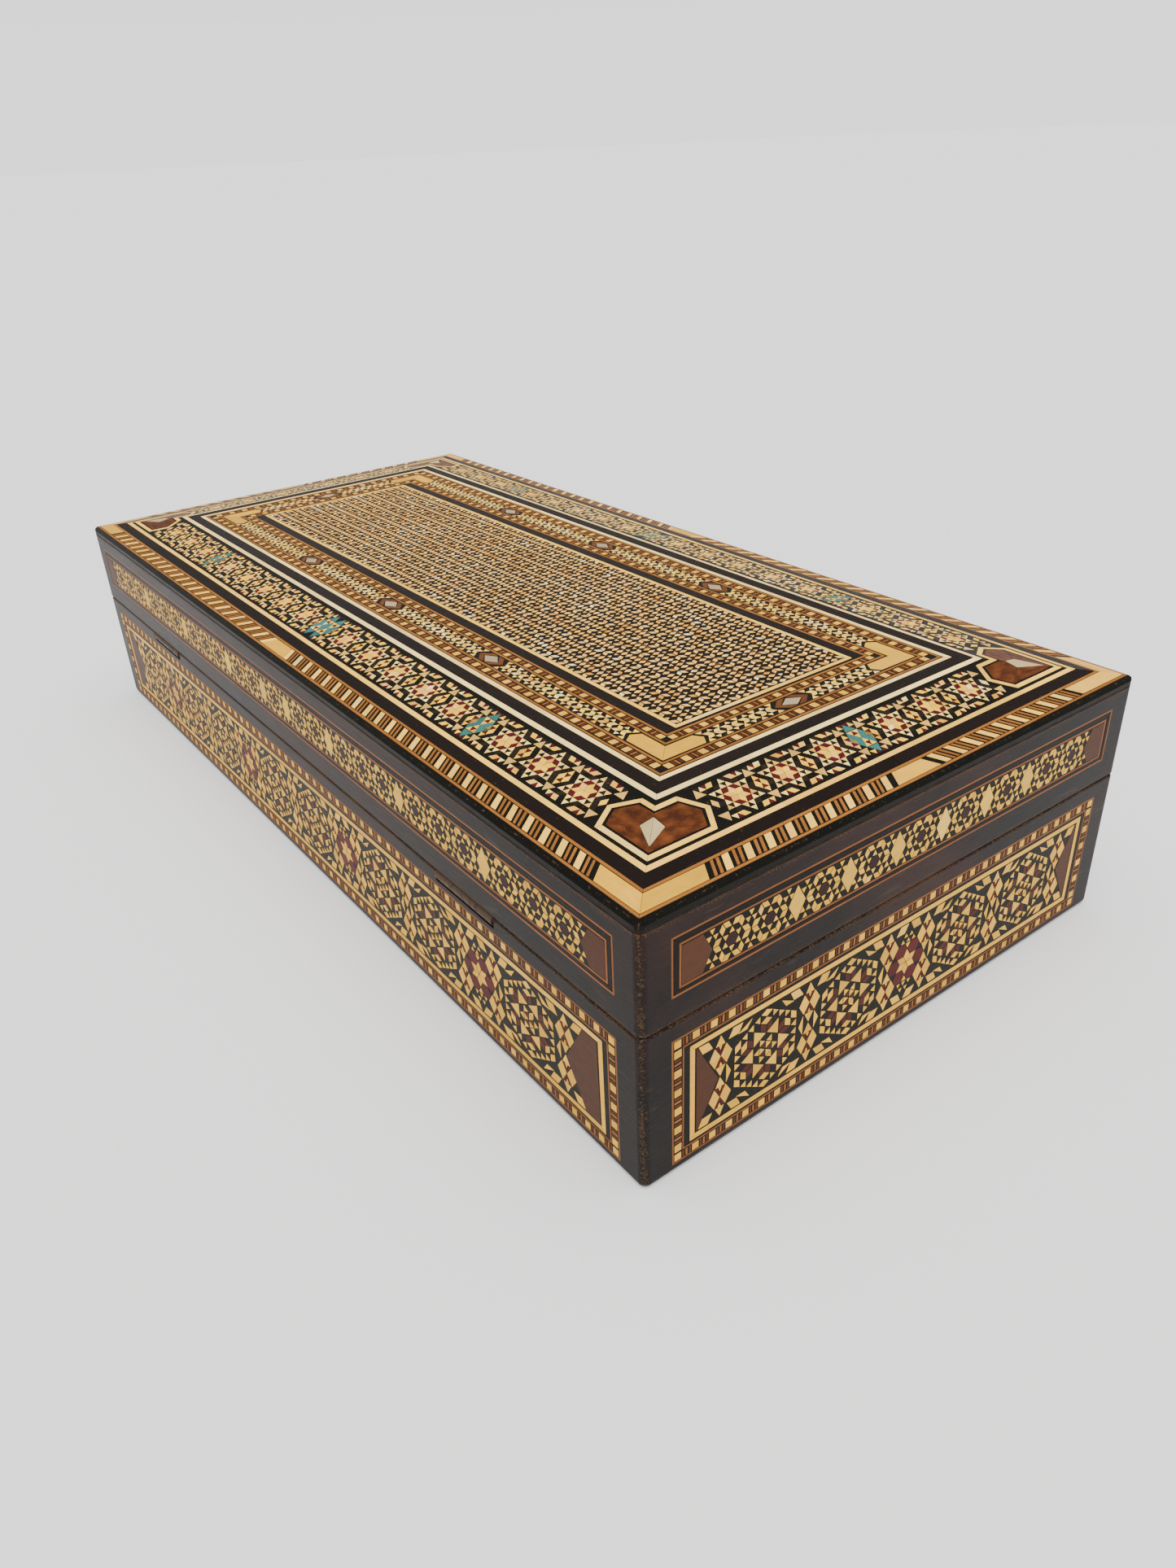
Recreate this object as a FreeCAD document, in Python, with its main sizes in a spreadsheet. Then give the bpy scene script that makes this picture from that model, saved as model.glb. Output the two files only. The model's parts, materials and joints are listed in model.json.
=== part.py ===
import FreeCAD, Part
import Sketcher
import os

# Inlaid wooden box with a hinged lid.  Z is up, X runs along the length, the hinges are on
# the +Y side, and the origin is in the middle of the underside.
# Four mitred boards and a let-in bottom make the base; four mitred rails and a crowned top
# board make the lid.  Marquetry sheets lie in shallow recesses, flush with the wood.

doc = FreeCAD.newDocument("inlaid_box")
sheet = doc.addObject("Spreadsheet::Sheet", "dims")

DIMENSIONS = {
    # outside of the box
    "length": 300.0,
    "width": 145.2,
    "base_height": 37.35,
    "seam_gap": 0.3,
    "edge_top": 62.5,
    "corner_round": 1.8,
    "foot_round": 1.5,
    "rim_round": 0.6,
    "lid_rim_round": 0.3,
    # boards
    "board": 8.0,
    "bottom": 4.0,
    "rebate": 4.0,
    "top_edge": 2.4,
    # crowned top: a sloping border that rises to a flat middle
    "crown_run": 25.3,
    "crown_rise": 3.75,
    "edge_worn": 0.85,
    "veneer": 1.0,
    # inner border of the top, measured from the outside edges
    "field_side": 46.8,
    "field_end": 44.6,
    # marquetry panels let into the sides
    "inlay": 1.0,
    "panel_end": 7.0,
    "panel_low": 2.3,
    "panel_high": 33.5,
    "strip_low": 43.2,
    "strip_high": 56.4,
    # felt-covered card lining
    "felt": 1.2,
    "felt_drop": 1.5,
    # butt hinges
    "hinge_place": 91.5,
    "hinge_long": 22.5,
    "barrel": 1.3,
    "pin": 0.55,
    "pin_play": 0.05,
    "axis_in": 0.9,
    "axis_down": 1.1,
    "leaf": 0.8,
    "leaf_in": 7.2,
    "knuckle_first": 6.1,
    "knuckle_last": 7.2,
    "knuckle_play": 0.15,
    "notch_play": 0.3,
    # brads that hold the hinges and the bottom
    "brad": 0.45,
    "brad_head": 1.0,
    "brad_sink": 0.5,
    "brad_long": 6.0,
    "brad_place": 7.6,
    "brad_in": 4.6,
    "pin_head": 1.1,
    "pin_long": 11.0,
    "pin_in": 2.2,
}
for row, (alias, value) in enumerate(DIMENSIONS.items(), start=1):
    sheet.set(f"A{row}", alias)
    sheet.set(f"B{row}", str(value))
    sheet.setAlias(f"B{row}", alias)
doc.recompute()

LID_BOTTOM = "(dims.base_height + dims.seam_gap)"
RAIL_TOP = "(dims.edge_top - dims.top_edge)"
CROWN_TOP = "(dims.edge_top + dims.crown_rise)"
AXIS_Y = "(dims.width / 2 - dims.axis_in)"
AXIS_Z = "(dims.base_height - dims.axis_down)"

# each side: turn about Z, its own span, and how far apart its face and the opposite one are
SIDES = {
    "front": (0, "dims.length", "dims.width"),
    "right": (90, "dims.width", "dims.length"),
    "back": (180, "dims.length", "dims.width"),
    "left": (270, "dims.width", "dims.length"),
}
nodes = []


def bind(part, **sizes):
    for name, formula in sizes.items():
        part.setExpression(name, formula)
    return part


def place(part, x="0", y="0", z="0"):
    part.setExpression("Placement.Base.x", x)
    part.setExpression("Placement.Base.y", y)
    part.setExpression("Placement.Base.z", z)
    return part


def node(part, label):
    """Marks a finished piece; its label names its file."""
    part.Label = label
    nodes.append(part)
    return part


def block(name, x, y, z, across, deep, high):
    part = doc.addObject("Part::Box", name)
    bind(part, Length=across, Width=deep, Height=high)
    return place(part, x, y, z)


def side_prism(name, side, near, far, half_near, half_far, low, high):
    """A mitred bar along one side: near and far are depths in from the outer face."""
    turn, span, depth = SIDES[side]
    part = doc.addObject("Part::Wedge", name)
    bind(
        part,
        Xmin=f"-({half_near})",
        Xmax=half_near,
        X2min=f"-({half_far})",
        X2max=half_far,
        Ymin=f"{near} - {depth} / 2",
        Ymax=f"{far} - {depth} / 2",
        Zmin=low,
        Zmax=high,
        Z2min=low,
        Z2max=high,
    )
    part.Placement.Rotation = FreeCAD.Rotation(FreeCAD.Vector(0, 0, 1), turn)
    return part


def join(name, *parts):
    part = doc.addObject("Part::MultiFuse", name)
    part.Shapes = list(parts)
    return part


def cut(name, body, *tools):
    part = doc.addObject("Part::Cut", name)
    part.Base = body
    part.Tool = tools[0] if len(tools) == 1 else join(name + "_tools", *tools)
    return part


def common(name, one, other):
    part = doc.addObject("Part::Common", name)
    part.Base = one
    part.Tool = other
    return part


def rod(name, x, y, z, radius, long, axis="x"):
    part = doc.addObject("Part::Cylinder", name)
    bind(part, Radius=radius, Height=long)
    if axis == "x":
        part.Placement.Rotation = FreeCAD.Rotation(FreeCAD.Vector(0, 1, 0), 90)
    return place(part, x, y, z)


def edge_names(shape, wanted):
    return [f"Edge{i}" for i, edge in enumerate(shape.Edges, start=1) if wanted(edge)]


def is_upright(edge):
    along = edge.Vertexes[0].Point - edge.Vertexes[1].Point
    return abs(along.z) > 1 and along.cross(FreeCAD.Vector(0, 0, 1)).Length < 0.01


def lies_at(height):
    return lambda edge: all(abs(v.Z - height) < 0.01 for v in edge.Vertexes)


def fillet(body, name, base, wanted, radius):
    """Rounds the edges of the body's last feature that wanted picks."""
    doc.recompute()
    part = body.newObject("PartDesign::Fillet", name)
    part.Base = (base, edge_names(base.Shape, wanted))
    part.setExpression("Radius", radius)
    doc.recompute()
    return part


def rounded_block(name, low, high):
    """The outside of the base or of the lid: a padded rectangle with worn corners."""
    body = doc.addObject("PartDesign::Body", name)
    plane = next(f for f in body.Origin.OriginFeatures if f.Role == "XY_Plane")
    sketch = body.newObject("Sketcher::SketchObject", name + "_plan")
    sketch.AttachmentSupport = (plane, [""])
    sketch.MapMode = "FlatFace"
    sketch.setExpression("AttachmentOffset.Base.z", low)
    corners = [(-90, -40), (90, -40), (90, 40), (-90, 40)]
    for i in range(4):
        start = FreeCAD.Vector(*corners[i], 0)
        end = FreeCAD.Vector(*corners[(i + 1) % 4], 0)
        sketch.addGeometry(Part.LineSegment(start, end))
    for i in range(4):
        sketch.addConstraint(Sketcher.Constraint("Coincident", i, 2, (i + 1) % 4, 1))
    for i in (0, 2):
        sketch.addConstraint(Sketcher.Constraint("Horizontal", i))
        sketch.addConstraint(Sketcher.Constraint("Vertical", i + 1))
    sketch.addConstraint(Sketcher.Constraint("Symmetric", 0, 1, 1, 2, -1, 1))
    across = sketch.addConstraint(Sketcher.Constraint("DistanceX", 0, 1, 0, 2, 180))
    deep = sketch.addConstraint(Sketcher.Constraint("DistanceY", 1, 1, 1, 2, 80))
    sketch.renameConstraint(across, "across")
    sketch.renameConstraint(deep, "deep")
    sketch.setExpression("Constraints.across", "dims.length")
    sketch.setExpression("Constraints.deep", "dims.width")
    pad = body.newObject("PartDesign::Pad", name + "_pad")
    pad.Profile = sketch
    pad.setExpression("Length", f"{high} - {low}")
    upright = fillet(body, name + "_corners", pad, is_upright, "dims.corner_round")
    return body, upright


# Outsides of the base and of the lid, with worn corners and rims.
doc.recompute()
base_outside, base_corners = rounded_block("base_outside", "0", "dims.base_height")
foot = fillet(base_outside, "base_foot", base_corners, lies_at(0), "dims.foot_round")
rim = lies_at(DIMENSIONS["base_height"])
base_outside.Tip = fillet(base_outside, "base_rim", foot, rim, "dims.rim_round")

lid_outside, lid_corners = rounded_block("lid_outside", LID_BOTTOM, CROWN_TOP)
lid_rim = lies_at(DIMENSIONS["base_height"] + DIMENSIONS["seam_gap"])
lid_outside.Tip = fillet(lid_outside, "lid_rim", lid_corners, lid_rim, "dims.lid_rim_round")

# Hinges: the axis runs just below the seam, and just inside the back face.  The base leaf has
# the two outer knuckles and the lid leaf the middle one.
hinge_notches, base_leaves, lid_leaves, base_brads, lid_brads = [], [], [], [], []
for hand, sign in (("left", "-1"), ("right", "1")):
    centre = f"{sign} * dims.hinge_place"
    start = f"({centre} - dims.hinge_long / 2)"
    leaf_y = "(dims.width / 2 - dims.leaf_in)"
    leaf_deep = f"({AXIS_Y} - {leaf_y})"
    middle = f"({start} + dims.knuckle_first)"
    middle_long = "(dims.hinge_long - dims.knuckle_first - dims.knuckle_last)"
    last = f"({middle} + {middle_long})"
    name = f"hinge_{hand}"

    pin = node(rod(f"{name}_rod", start, AXIS_Y, AXIS_Z, "dims.pin", "dims.hinge_long"), f"{name}_pin")

    # brads: a countersunk head flush with each leaf, and a shank in the wood
    for owner, brads, head_z, down in (
        ("base", base_brads, "dims.base_height", "-1"),
        ("lid", lid_brads, LID_BOTTOM, "1"),
    ):
        for spot in ("-1", "1"):
            at = f"{name}_{owner}_brad{len(brads)}"
            x = f"{centre} + {spot} * dims.brad_place"
            y = f"{leaf_y} + dims.leaf_in - dims.axis_in - dims.brad_in"
            shank_z = f"{head_z} - dims.brad_long" if down == "-1" else head_z
            shank = rod(at + "_shank", x, y, shank_z, "dims.brad", "dims.brad_long", "z")
            head = doc.addObject("Part::Cone", at + "_head")
            wide, thin = ("Radius2", "Radius1") if down == "-1" else ("Radius1", "Radius2")
            bind(head, Height="dims.brad_sink")
            bind(head, **{wide: "dims.brad_head", thin: "dims.brad"})
            place(head, x, y, f"{head_z} - dims.brad_sink" if down == "-1" else head_z)
            brads.append(join(at, shank, head))

    notch = block(
        f"{name}_notch",
        f"{start} - dims.notch_play",
        f"{AXIS_Y} - dims.barrel - dims.notch_play",
        f"{AXIS_Z} - dims.barrel - dims.notch_play",
        "dims.hinge_long + 2 * dims.notch_play",
        "4 * dims.barrel",
        "4 * dims.barrel",
    )
    hinge_notches.append(notch)

    plate_z = "(dims.base_height - dims.leaf)"
    plate = block(f"{name}_base_plate", start, leaf_y, plate_z, "dims.hinge_long", leaf_deep, "dims.leaf")
    first_knuckle = rod(f"{name}_knuckle_a", start, AXIS_Y, AXIS_Z, "dims.barrel", "dims.knuckle_first")
    last_knuckle = rod(f"{name}_knuckle_c", last, AXIS_Y, AXIS_Z, "dims.barrel", "dims.knuckle_last")
    gap = block(
        f"{name}_gap",
        f"{middle} - dims.knuckle_play",
        f"{AXIS_Y} - dims.barrel - dims.notch_play",
        f"{AXIS_Z} - 2 * dims.barrel",
        f"{middle_long} + 2 * dims.knuckle_play",
        "4 * dims.barrel",
        "4 * dims.barrel",
    )
    bore = rod(f"{name}_bore", start, AXIS_Y, AXIS_Z, "dims.pin", "dims.hinge_long")
    solid = join(f"{name}_base_solid", plate, first_knuckle, last_knuckle)
    leaf = cut(f"{name}_base", solid, gap, bore, *base_brads[-2:])
    base_leaves.append(node(leaf, f"{name}_base_leaf"))

    lid_plate = block(
        f"{name}_lid_plate", start, leaf_y, LID_BOTTOM, "dims.hinge_long", leaf_deep, "dims.leaf"
    )
    knuckle = rod(f"{name}_knuckle_b", middle, AXIS_Y, AXIS_Z, "dims.barrel", middle_long)
    neck_high = f"{LID_BOTTOM} + dims.leaf - {AXIS_Z}"
    neck = block(
        f"{name}_neck", middle, f"{AXIS_Y} - dims.barrel", AXIS_Z, middle_long, "dims.barrel", neck_high
    )
    lid_bore = rod(
        f"{name}_lid_bore", start, AXIS_Y, AXIS_Z, "dims.pin + dims.pin_play", "dims.hinge_long"
    )
    lid_solid = join(f"{name}_lid_solid", lid_plate, knuckle, neck)
    lid_leaf = cut(f"{name}_lid", lid_solid, lid_bore, *lid_brads[-2:])
    lid_leaves.append(node(lid_leaf, f"{name}_lid_leaf"))

node(join("base_brads", *base_brads), "hinge_base_brads")
node(join("lid_brads", *lid_brads), "hinge_lid_brads")

# Bottom board, let into a rebate and held by brads driven up from below.
lip = "(dims.board - dims.rebate)"
bottom_blank = block(
    "bottom_blank",
    f"-dims.length / 2 + {lip}",
    f"-dims.width / 2 + {lip}",
    "0",
    f"dims.length - 2 * {lip}",
    f"dims.width - 2 * {lip}",
    "dims.bottom",
)
bottom_pins = []
inset_x = f"(dims.length / 2 - {lip} - dims.pin_in)"
inset_y = f"(dims.width / 2 - {lip} - dims.pin_in)"
pin_spots = [(f"{i} * {inset_x} / 2.5", f"{j} * {inset_y}") for i in (-2, -1, 0, 1, 2) for j in (-1, 1)]
pin_spots += [(f"{i} * {inset_x}", f"{j} * {inset_y} / 2.5") for i in (-1, 1) for j in (-1, 1)]
for count, (x, y) in enumerate(pin_spots):
    shank = rod(f"bottom_pin{count}_shank", x, y, "0", "dims.brad", "dims.pin_long", "z")
    head = rod(f"bottom_pin{count}_head", x, y, "0", "dims.pin_head", "dims.brad_sink", "z")
    bottom_pins.append(join(f"bottom_pin{count}", shank, head))
pins = node(join("bottom_pins_all", *bottom_pins), "bottom_pins")
node(cut("bottom", bottom_blank, pins), "base_bottom_panel")

# Base boards and lid rails, mitred at the corners, each with a recess for its marquetry.
crown_gap = block(
    "under_crown",
    "-dims.length",
    "-dims.width",
    RAIL_TOP,
    "2 * dims.length",
    "2 * dims.width",
    "dims.edge_top",
)
lid_frame_outside = cut("lid_frame_outside", lid_outside, crown_gap)
for side, (_, span, _) in SIDES.items():
    half = f"({span} / 2)"
    inner_half = f"({span} / 2 - dims.board)"
    panel_half = f"({span} / 2 - dims.panel_end)"

    def recess(name, low, high):
        return side_prism(name, side, "0", "dims.inlay", panel_half, panel_half, low, high)

    panel = node(recess(f"base_{side}_panel", "dims.panel_low", "dims.panel_high"), f"base_{side}_marquetry")
    strip = node(recess(f"lid_{side}_strip", "dims.strip_low", "dims.strip_high"), f"lid_{side}_marquetry")

    bar = side_prism(
        f"base_{side}_bar", side, "0", "dims.board", half, inner_half, "0", "dims.base_height"
    )
    tools = [panel, bottom_blank, pins]
    if side == "back":
        tools += hinge_notches + base_leaves + base_brads
    board = cut(f"base_{side}", common(f"base_{side}_blank", base_outside, bar), *tools)
    node(board, f"base_{side}_board")

    bar = side_prism(
        f"lid_{side}_bar", side, "0", "dims.board", half, inner_half, LID_BOTTOM, RAIL_TOP
    )
    tools = [strip]
    if side == "back":
        tools += lid_leaves + lid_brads
    rail = cut(f"lid_{side}", common(f"lid_{side}_blank", lid_frame_outside, bar), *tools)
    node(rail, f"lid_{side}_rail")

def frustum(name, low, inset):
    """A block over the whole box from low to the crown's top, where it is smaller by inset."""
    shape = doc.addObject("Part::Wedge", name)
    bind(
        shape,
        Xmin="-dims.length / 2",
        Xmax="dims.length / 2",
        X2min=f"-dims.length / 2 + {inset}",
        X2max=f"dims.length / 2 - {inset}",
        Ymin=low,
        Ymax=CROWN_TOP,
        Zmin="-dims.width / 2",
        Zmax="dims.width / 2",
        Z2min=f"-dims.width / 2 + {inset}",
        Z2max=f"dims.width / 2 - {inset}",
    )
    shape.Placement.Rotation = FreeCAD.Rotation(FreeCAD.Vector(1, 0, 0), 90)
    return shape


# Crowned top: a board with sloping borders under a layer of marquetry of even thickness. Its
# sharp edge is worn off.
crown_edge = block(
    "crown_edge",
    "-dims.length / 2",
    "-dims.width / 2",
    RAIL_TOP,
    "dims.length",
    "dims.width",
    "dims.top_edge",
)
crown_slope = frustum("crown_slope", "dims.edge_top", "dims.crown_run")
worn_edge = block(
    "worn_edge",
    "-dims.length / 2",
    "-dims.width / 2",
    RAIL_TOP,
    "dims.length",
    "dims.width",
    "dims.top_edge - dims.edge_worn",
)
worn_slope = frustum("worn_slope", "(dims.edge_top - dims.edge_worn)", "(dims.crown_rise + dims.edge_worn)")
sharp_crown = common("sharp_crown", lid_outside, join("crown_solid", crown_edge, crown_slope))
crown = common("crown", sharp_crown, join("worn_solid", worn_edge, worn_slope))
lowered = doc.addObject("Part::Compound", "crown_lowered")
lowered.Links = [crown]
lowered.setExpression("Placement.Base.z", "-dims.veneer")
above_rails = block(
    "above_rails",
    "-dims.length",
    "-dims.width",
    RAIL_TOP,
    "2 * dims.length",
    "2 * dims.width",
    "dims.edge_top",
)
node(common("top_board", lowered, above_rails), "lid_top_board")
veneer_layer = cut("veneer_layer", crown, lowered)
flat_low = f"({CROWN_TOP} - dims.veneer)"
for side, (_, span, _) in SIDES.items():
    long_side = side in ("front", "back")
    across, along = ("field_side", "field_end") if long_side else ("field_end", "field_side")
    half = f"({span} / 2)"
    crease_half = f"({span} / 2 - dims.crown_run)"
    field_half = f"({span} / 2 - dims.{along})"
    slope = side_prism(
        f"top_{side}_slope", side, "0", "dims.crown_run", half, crease_half, RAIL_TOP, CROWN_TOP
    )
    node(common(f"top_{side}_outer", veneer_layer, slope), f"top_outer_border_{side}")
    inner = side_prism(
        f"top_{side}_flat",
        side,
        "dims.crown_run",
        f"dims.{across}",
        crease_half,
        field_half,
        flat_low,
        CROWN_TOP,
    )
    node(inner, f"top_inner_border_{side}")
field = block(
    "field",
    "-dims.length / 2 + dims.field_end",
    "-dims.width / 2 + dims.field_side",
    flat_low,
    "dims.length - 2 * dims.field_end",
    "dims.width - 2 * dims.field_side",
    "dims.veneer",
)
node(field, "top_centre_field")

# Felt-covered card lining in the base and in the lid: a flat sheet between four walls.
inside_x = "(dims.length - 2 * dims.board - 2 * dims.felt)"
inside_y = "(dims.width - 2 * dims.board - 2 * dims.felt)"
LININGS = {
    "base": ("floor", "dims.bottom", "dims.bottom", "dims.base_height - dims.felt_drop"),
    "lid": ("ceiling", f"({RAIL_TOP} - dims.felt)", f"{LID_BOTTOM} + dims.felt_drop", RAIL_TOP),
}
for owner, (flat_name, flat_z, low, high) in LININGS.items():
    felt_flat = block(
        f"{owner}_felt_flat",
        f"-{inside_x} / 2",
        f"-{inside_y} / 2",
        flat_z,
        inside_x,
        inside_y,
        "dims.felt",
    )
    node(felt_flat, f"{owner}_lining_{flat_name}")
    for side, (_, span, _) in SIDES.items():
        wall_half = f"({span} / 2 - dims.board)"
        felt_half = f"({wall_half} - dims.felt)"
        wall = side_prism(
            f"{owner}_felt_{side}",
            side,
            "dims.board",
            "dims.board + dims.felt",
            wall_half,
            felt_half,
            low,
            high,
        )
        node(wall, f"{owner}_lining_{side}")

doc.recompute()
for part in doc.Objects:
    if {"Invalid", "Error"} & set(part.State):
        raise RuntimeError(f"{part.Label}: {part.State}")
for part in nodes:
    if part.Shape.isNull() or not part.Shape.isValid():
        raise RuntimeError(f"{part.Label} has no valid shape")

os.makedirs("parts", exist_ok=True)
for part in nodes:
    part.Shape.exportStep(f"parts/{part.Label}.step")
    print(f"{part.Label}: {len(part.Shape.Solids)} solid(s), {part.Shape.Volume:.1f} mm3")
print(len(nodes), "nodes")
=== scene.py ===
import json
import math
import random

import bmesh
import bpy
from mathutils import Matrix, Vector, noise

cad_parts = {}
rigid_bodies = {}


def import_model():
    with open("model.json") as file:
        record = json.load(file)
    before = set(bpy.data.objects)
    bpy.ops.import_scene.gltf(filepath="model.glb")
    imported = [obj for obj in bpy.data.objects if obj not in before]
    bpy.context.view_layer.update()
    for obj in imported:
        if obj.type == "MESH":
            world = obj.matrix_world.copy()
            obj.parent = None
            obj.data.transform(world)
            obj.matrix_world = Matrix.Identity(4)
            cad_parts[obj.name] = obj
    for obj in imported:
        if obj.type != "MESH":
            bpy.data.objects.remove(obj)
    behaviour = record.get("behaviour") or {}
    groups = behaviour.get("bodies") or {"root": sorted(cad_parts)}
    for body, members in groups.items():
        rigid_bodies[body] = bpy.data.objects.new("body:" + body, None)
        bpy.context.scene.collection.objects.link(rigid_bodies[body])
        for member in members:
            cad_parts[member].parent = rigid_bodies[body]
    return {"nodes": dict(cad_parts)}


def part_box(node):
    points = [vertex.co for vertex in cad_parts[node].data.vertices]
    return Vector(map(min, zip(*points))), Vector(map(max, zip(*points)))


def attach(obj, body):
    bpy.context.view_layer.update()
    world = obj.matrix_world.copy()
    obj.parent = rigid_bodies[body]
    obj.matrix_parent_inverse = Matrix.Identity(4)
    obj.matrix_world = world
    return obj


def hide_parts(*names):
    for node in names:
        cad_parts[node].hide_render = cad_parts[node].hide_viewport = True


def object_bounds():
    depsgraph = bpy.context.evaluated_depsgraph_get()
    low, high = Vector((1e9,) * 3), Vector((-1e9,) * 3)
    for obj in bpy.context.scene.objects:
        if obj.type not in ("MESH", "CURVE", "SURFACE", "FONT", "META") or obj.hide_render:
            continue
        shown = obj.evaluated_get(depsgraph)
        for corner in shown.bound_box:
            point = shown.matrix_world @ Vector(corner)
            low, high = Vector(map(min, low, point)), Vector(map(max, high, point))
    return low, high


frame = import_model()
cad_box = [list(corner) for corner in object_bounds()]

# Camera: it stands close to the corner of the hinge side and the left side and looks down on
# the lid, so the box recedes strongly.
AZIMUTH = math.radians(234.286)
ELEVATION = math.radians(29.68)
ROLL = math.radians(-2.644)
level_back = math.cos(ELEVATION)
back = Vector((math.sin(AZIMUTH) * level_back, -math.cos(AZIMUTH) * level_back, math.sin(ELEVATION)))
right = (-back).cross(Vector((0, 0, 1))).normalized()
above = right.cross(-back)
camera = bpy.data.objects.new("camera", bpy.data.cameras.new("camera"))
camera.data.lens = 25.92
camera.data.sensor_width = 36
camera.data.clip_start = 0.01
camera.matrix_world = Matrix.Translation((-0.2649, 0.1638, 0.17268)) @ Matrix(
    [
        math.cos(ROLL) * right + math.sin(ROLL) * above,
        math.cos(ROLL) * above - math.sin(ROLL) * right,
        back,
    ]
).transposed().to_4x4()
bpy.context.scene.collection.objects.link(camera)
bpy.context.scene.camera = camera

# Floor and light: a pale matt floor that runs out to a sky as pale as itself. The light comes
# from overhead and from behind the camera; the sky is dark where the polished lid mirrors it.
class Wire:
    """One socket of a finish. Sums on wires add Math nodes, and node adds any other."""

    def __init__(self, tree, socket=None):
        self.tree = tree
        self.socket = socket

    def node(self, kind, sockets=(), output=0, **settings):
        """Adds a node: its settings first, then its sockets' values or wires."""
        made = self.tree.nodes.new(kind)
        for name, value in settings.items():
            setattr(made, name, value)
        for name, value in dict(sockets).items():
            if isinstance(value, Wire):
                self.tree.links.new(value.socket, made.inputs[name])
            else:
                made.inputs[name].default_value = value
        return Wire(self.tree, made.outputs[output])

    def maths(self, operation, *values, **settings):
        return self.node("ShaderNodeMath", enumerate(values), operation=operation, **settings)

    def __add__(self, other):
        return self.maths("ADD", self, other)

    def __radd__(self, other):
        return self.maths("ADD", other, self)

    def __sub__(self, other):
        return self.maths("SUBTRACT", self, other)

    def __rsub__(self, other):
        return self.maths("SUBTRACT", other, self)

    def __mul__(self, other):
        return self.maths("MULTIPLY", self, other)

    def __rmul__(self, other):
        return self.maths("MULTIPLY", other, self)

    def least(self, other):
        return self.maths("MINIMUM", self, other)

    def most(self, other):
        return self.maths("MAXIMUM", self, other)

    def within(self, low, high):
        """Nought below low, one above high, and straight between them."""
        ends = {"Value": self, "From Min": low, "From Max": high}
        return self.node("ShaderNodeMapRange", ends, clamp=True)

    def noise(self, scale, stretch=(1, 1, 1), turn=0.0, detail=3.0):
        """Noise over this vector, stretched along its axes after a turn about Z."""
        placed = self.node(
            "ShaderNodeMapping",
            {"Vector": self, "Rotation": (0, 0, turn), "Scale": [scale * axis for axis in stretch]},
        )
        return placed.node("ShaderNodeTexNoise", {"Vector": placed, "Scale": 1.0, "Detail": detail})

    def mixed(self, first, second, blend="MIX"):
        """Two colours mixed by this wire."""
        sockets = {0: self, 6: first, 7: second}
        return self.node("ShaderNodeMix", sockets, 2, data_type="RGBA", blend_type=blend)

    def scaled(self, factor):
        """This colour made lighter or darker."""
        return self.node("ShaderNodeVectorMath", {0: self, "Scale": factor}, operation="SCALE")


floor_mesh = bpy.data.meshes.new("floor")
FLOOR_REACH = 30
floor_corners = [(x * FLOOR_REACH, y * FLOOR_REACH, 0) for x, y in ((-1, -1), (1, -1), (1, 1), (-1, 1))]
floor_mesh.from_pydata(floor_corners, [], [(0, 1, 2, 3)])
floor = bpy.data.objects.new("floor", floor_mesh)
bpy.context.scene.collection.objects.link(floor)
pale = bpy.data.materials.new("pale_floor")
pale.use_nodes = True
pale.node_tree.nodes["Principled BSDF"].inputs["Base Color"].default_value = (0.72, 0.72, 0.715, 1)
pale.node_tree.nodes["Principled BSDF"].inputs["Roughness"].default_value = 0.9
pale.node_tree.nodes["Principled BSDF"].inputs["Specular IOR Level"].default_value = 0.1
floor.data.materials.append(pale)

sky = bpy.data.worlds.new("sky")
sky.use_nodes = True
direction = Wire(sky.node_tree).node("ShaderNodeTexCoord")
height = direction.node("ShaderNodeSeparateXYZ", {0: direction}, 2)
level = 0.14 + 1.5 * (1 - height.within(0.08, 0.36)) + 1.6 * height.within(0.6, 0.9)
sky.node_tree.links.new(level.socket, sky.node_tree.nodes["Background"].inputs["Strength"])
sky.node_tree.nodes["Background"].inputs["Color"].default_value = (1, 1, 1, 1)
bpy.context.scene.world = sky


def lamp(name, place, spread, power):
    """A distant soft lamp in the direction of place, as wide as spread degrees."""
    light = bpy.data.lights.new(name, "SUN")
    light.angle = math.radians(spread)
    light.energy = power
    holder = bpy.data.objects.new(name, light)
    holder.matrix_world = Vector(place).to_track_quat("Z", "Y").to_matrix().to_4x4()
    bpy.context.scene.collection.objects.link(holder)


lamp("overhead_lamp", (-0.15, 0.1, 1.0), 60, 3.4)
lamp("camera_side_lamp", (-0.75, 0.6, 0.75), 50, 2.4)

# Base boards: four mitred boards of dark stained wood under worn polish, glued at the corners.
# Brown wood shows where the polish has gone from the edges.
MM = 0.001
SIDES = {"front": 0, "right": 90, "back": 180, "left": 270}
outside_low, outside_high = (Vector(corner) / MM for corner in cad_box)
half_long = outside_high.x
half_wide = -outside_low.y
base_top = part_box("base_left_board")[1].z / MM
lid_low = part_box("lid_left_rail")[0].z / MM
rail_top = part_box("lid_left_rail")[1].z / MM


def tint(red, green, blue):
    """A colour on the 0 to 255 scale as the linear numbers of a socket."""
    return tuple(((part / 255 + 0.055) / 1.055) ** 2.4 for part in (red, green, blue)) + (1,)


def finish(name, **even):
    """A new material with the values that are the same all over it; gives it and a bare wire."""
    made = bpy.data.materials.new(name)
    made.use_nodes = True
    for socket, value in even.items():
        made.node_tree.nodes["Principled BSDF"].inputs[socket.replace("_", " ")].default_value = value
    return made, Wire(made.node_tree)


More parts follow.
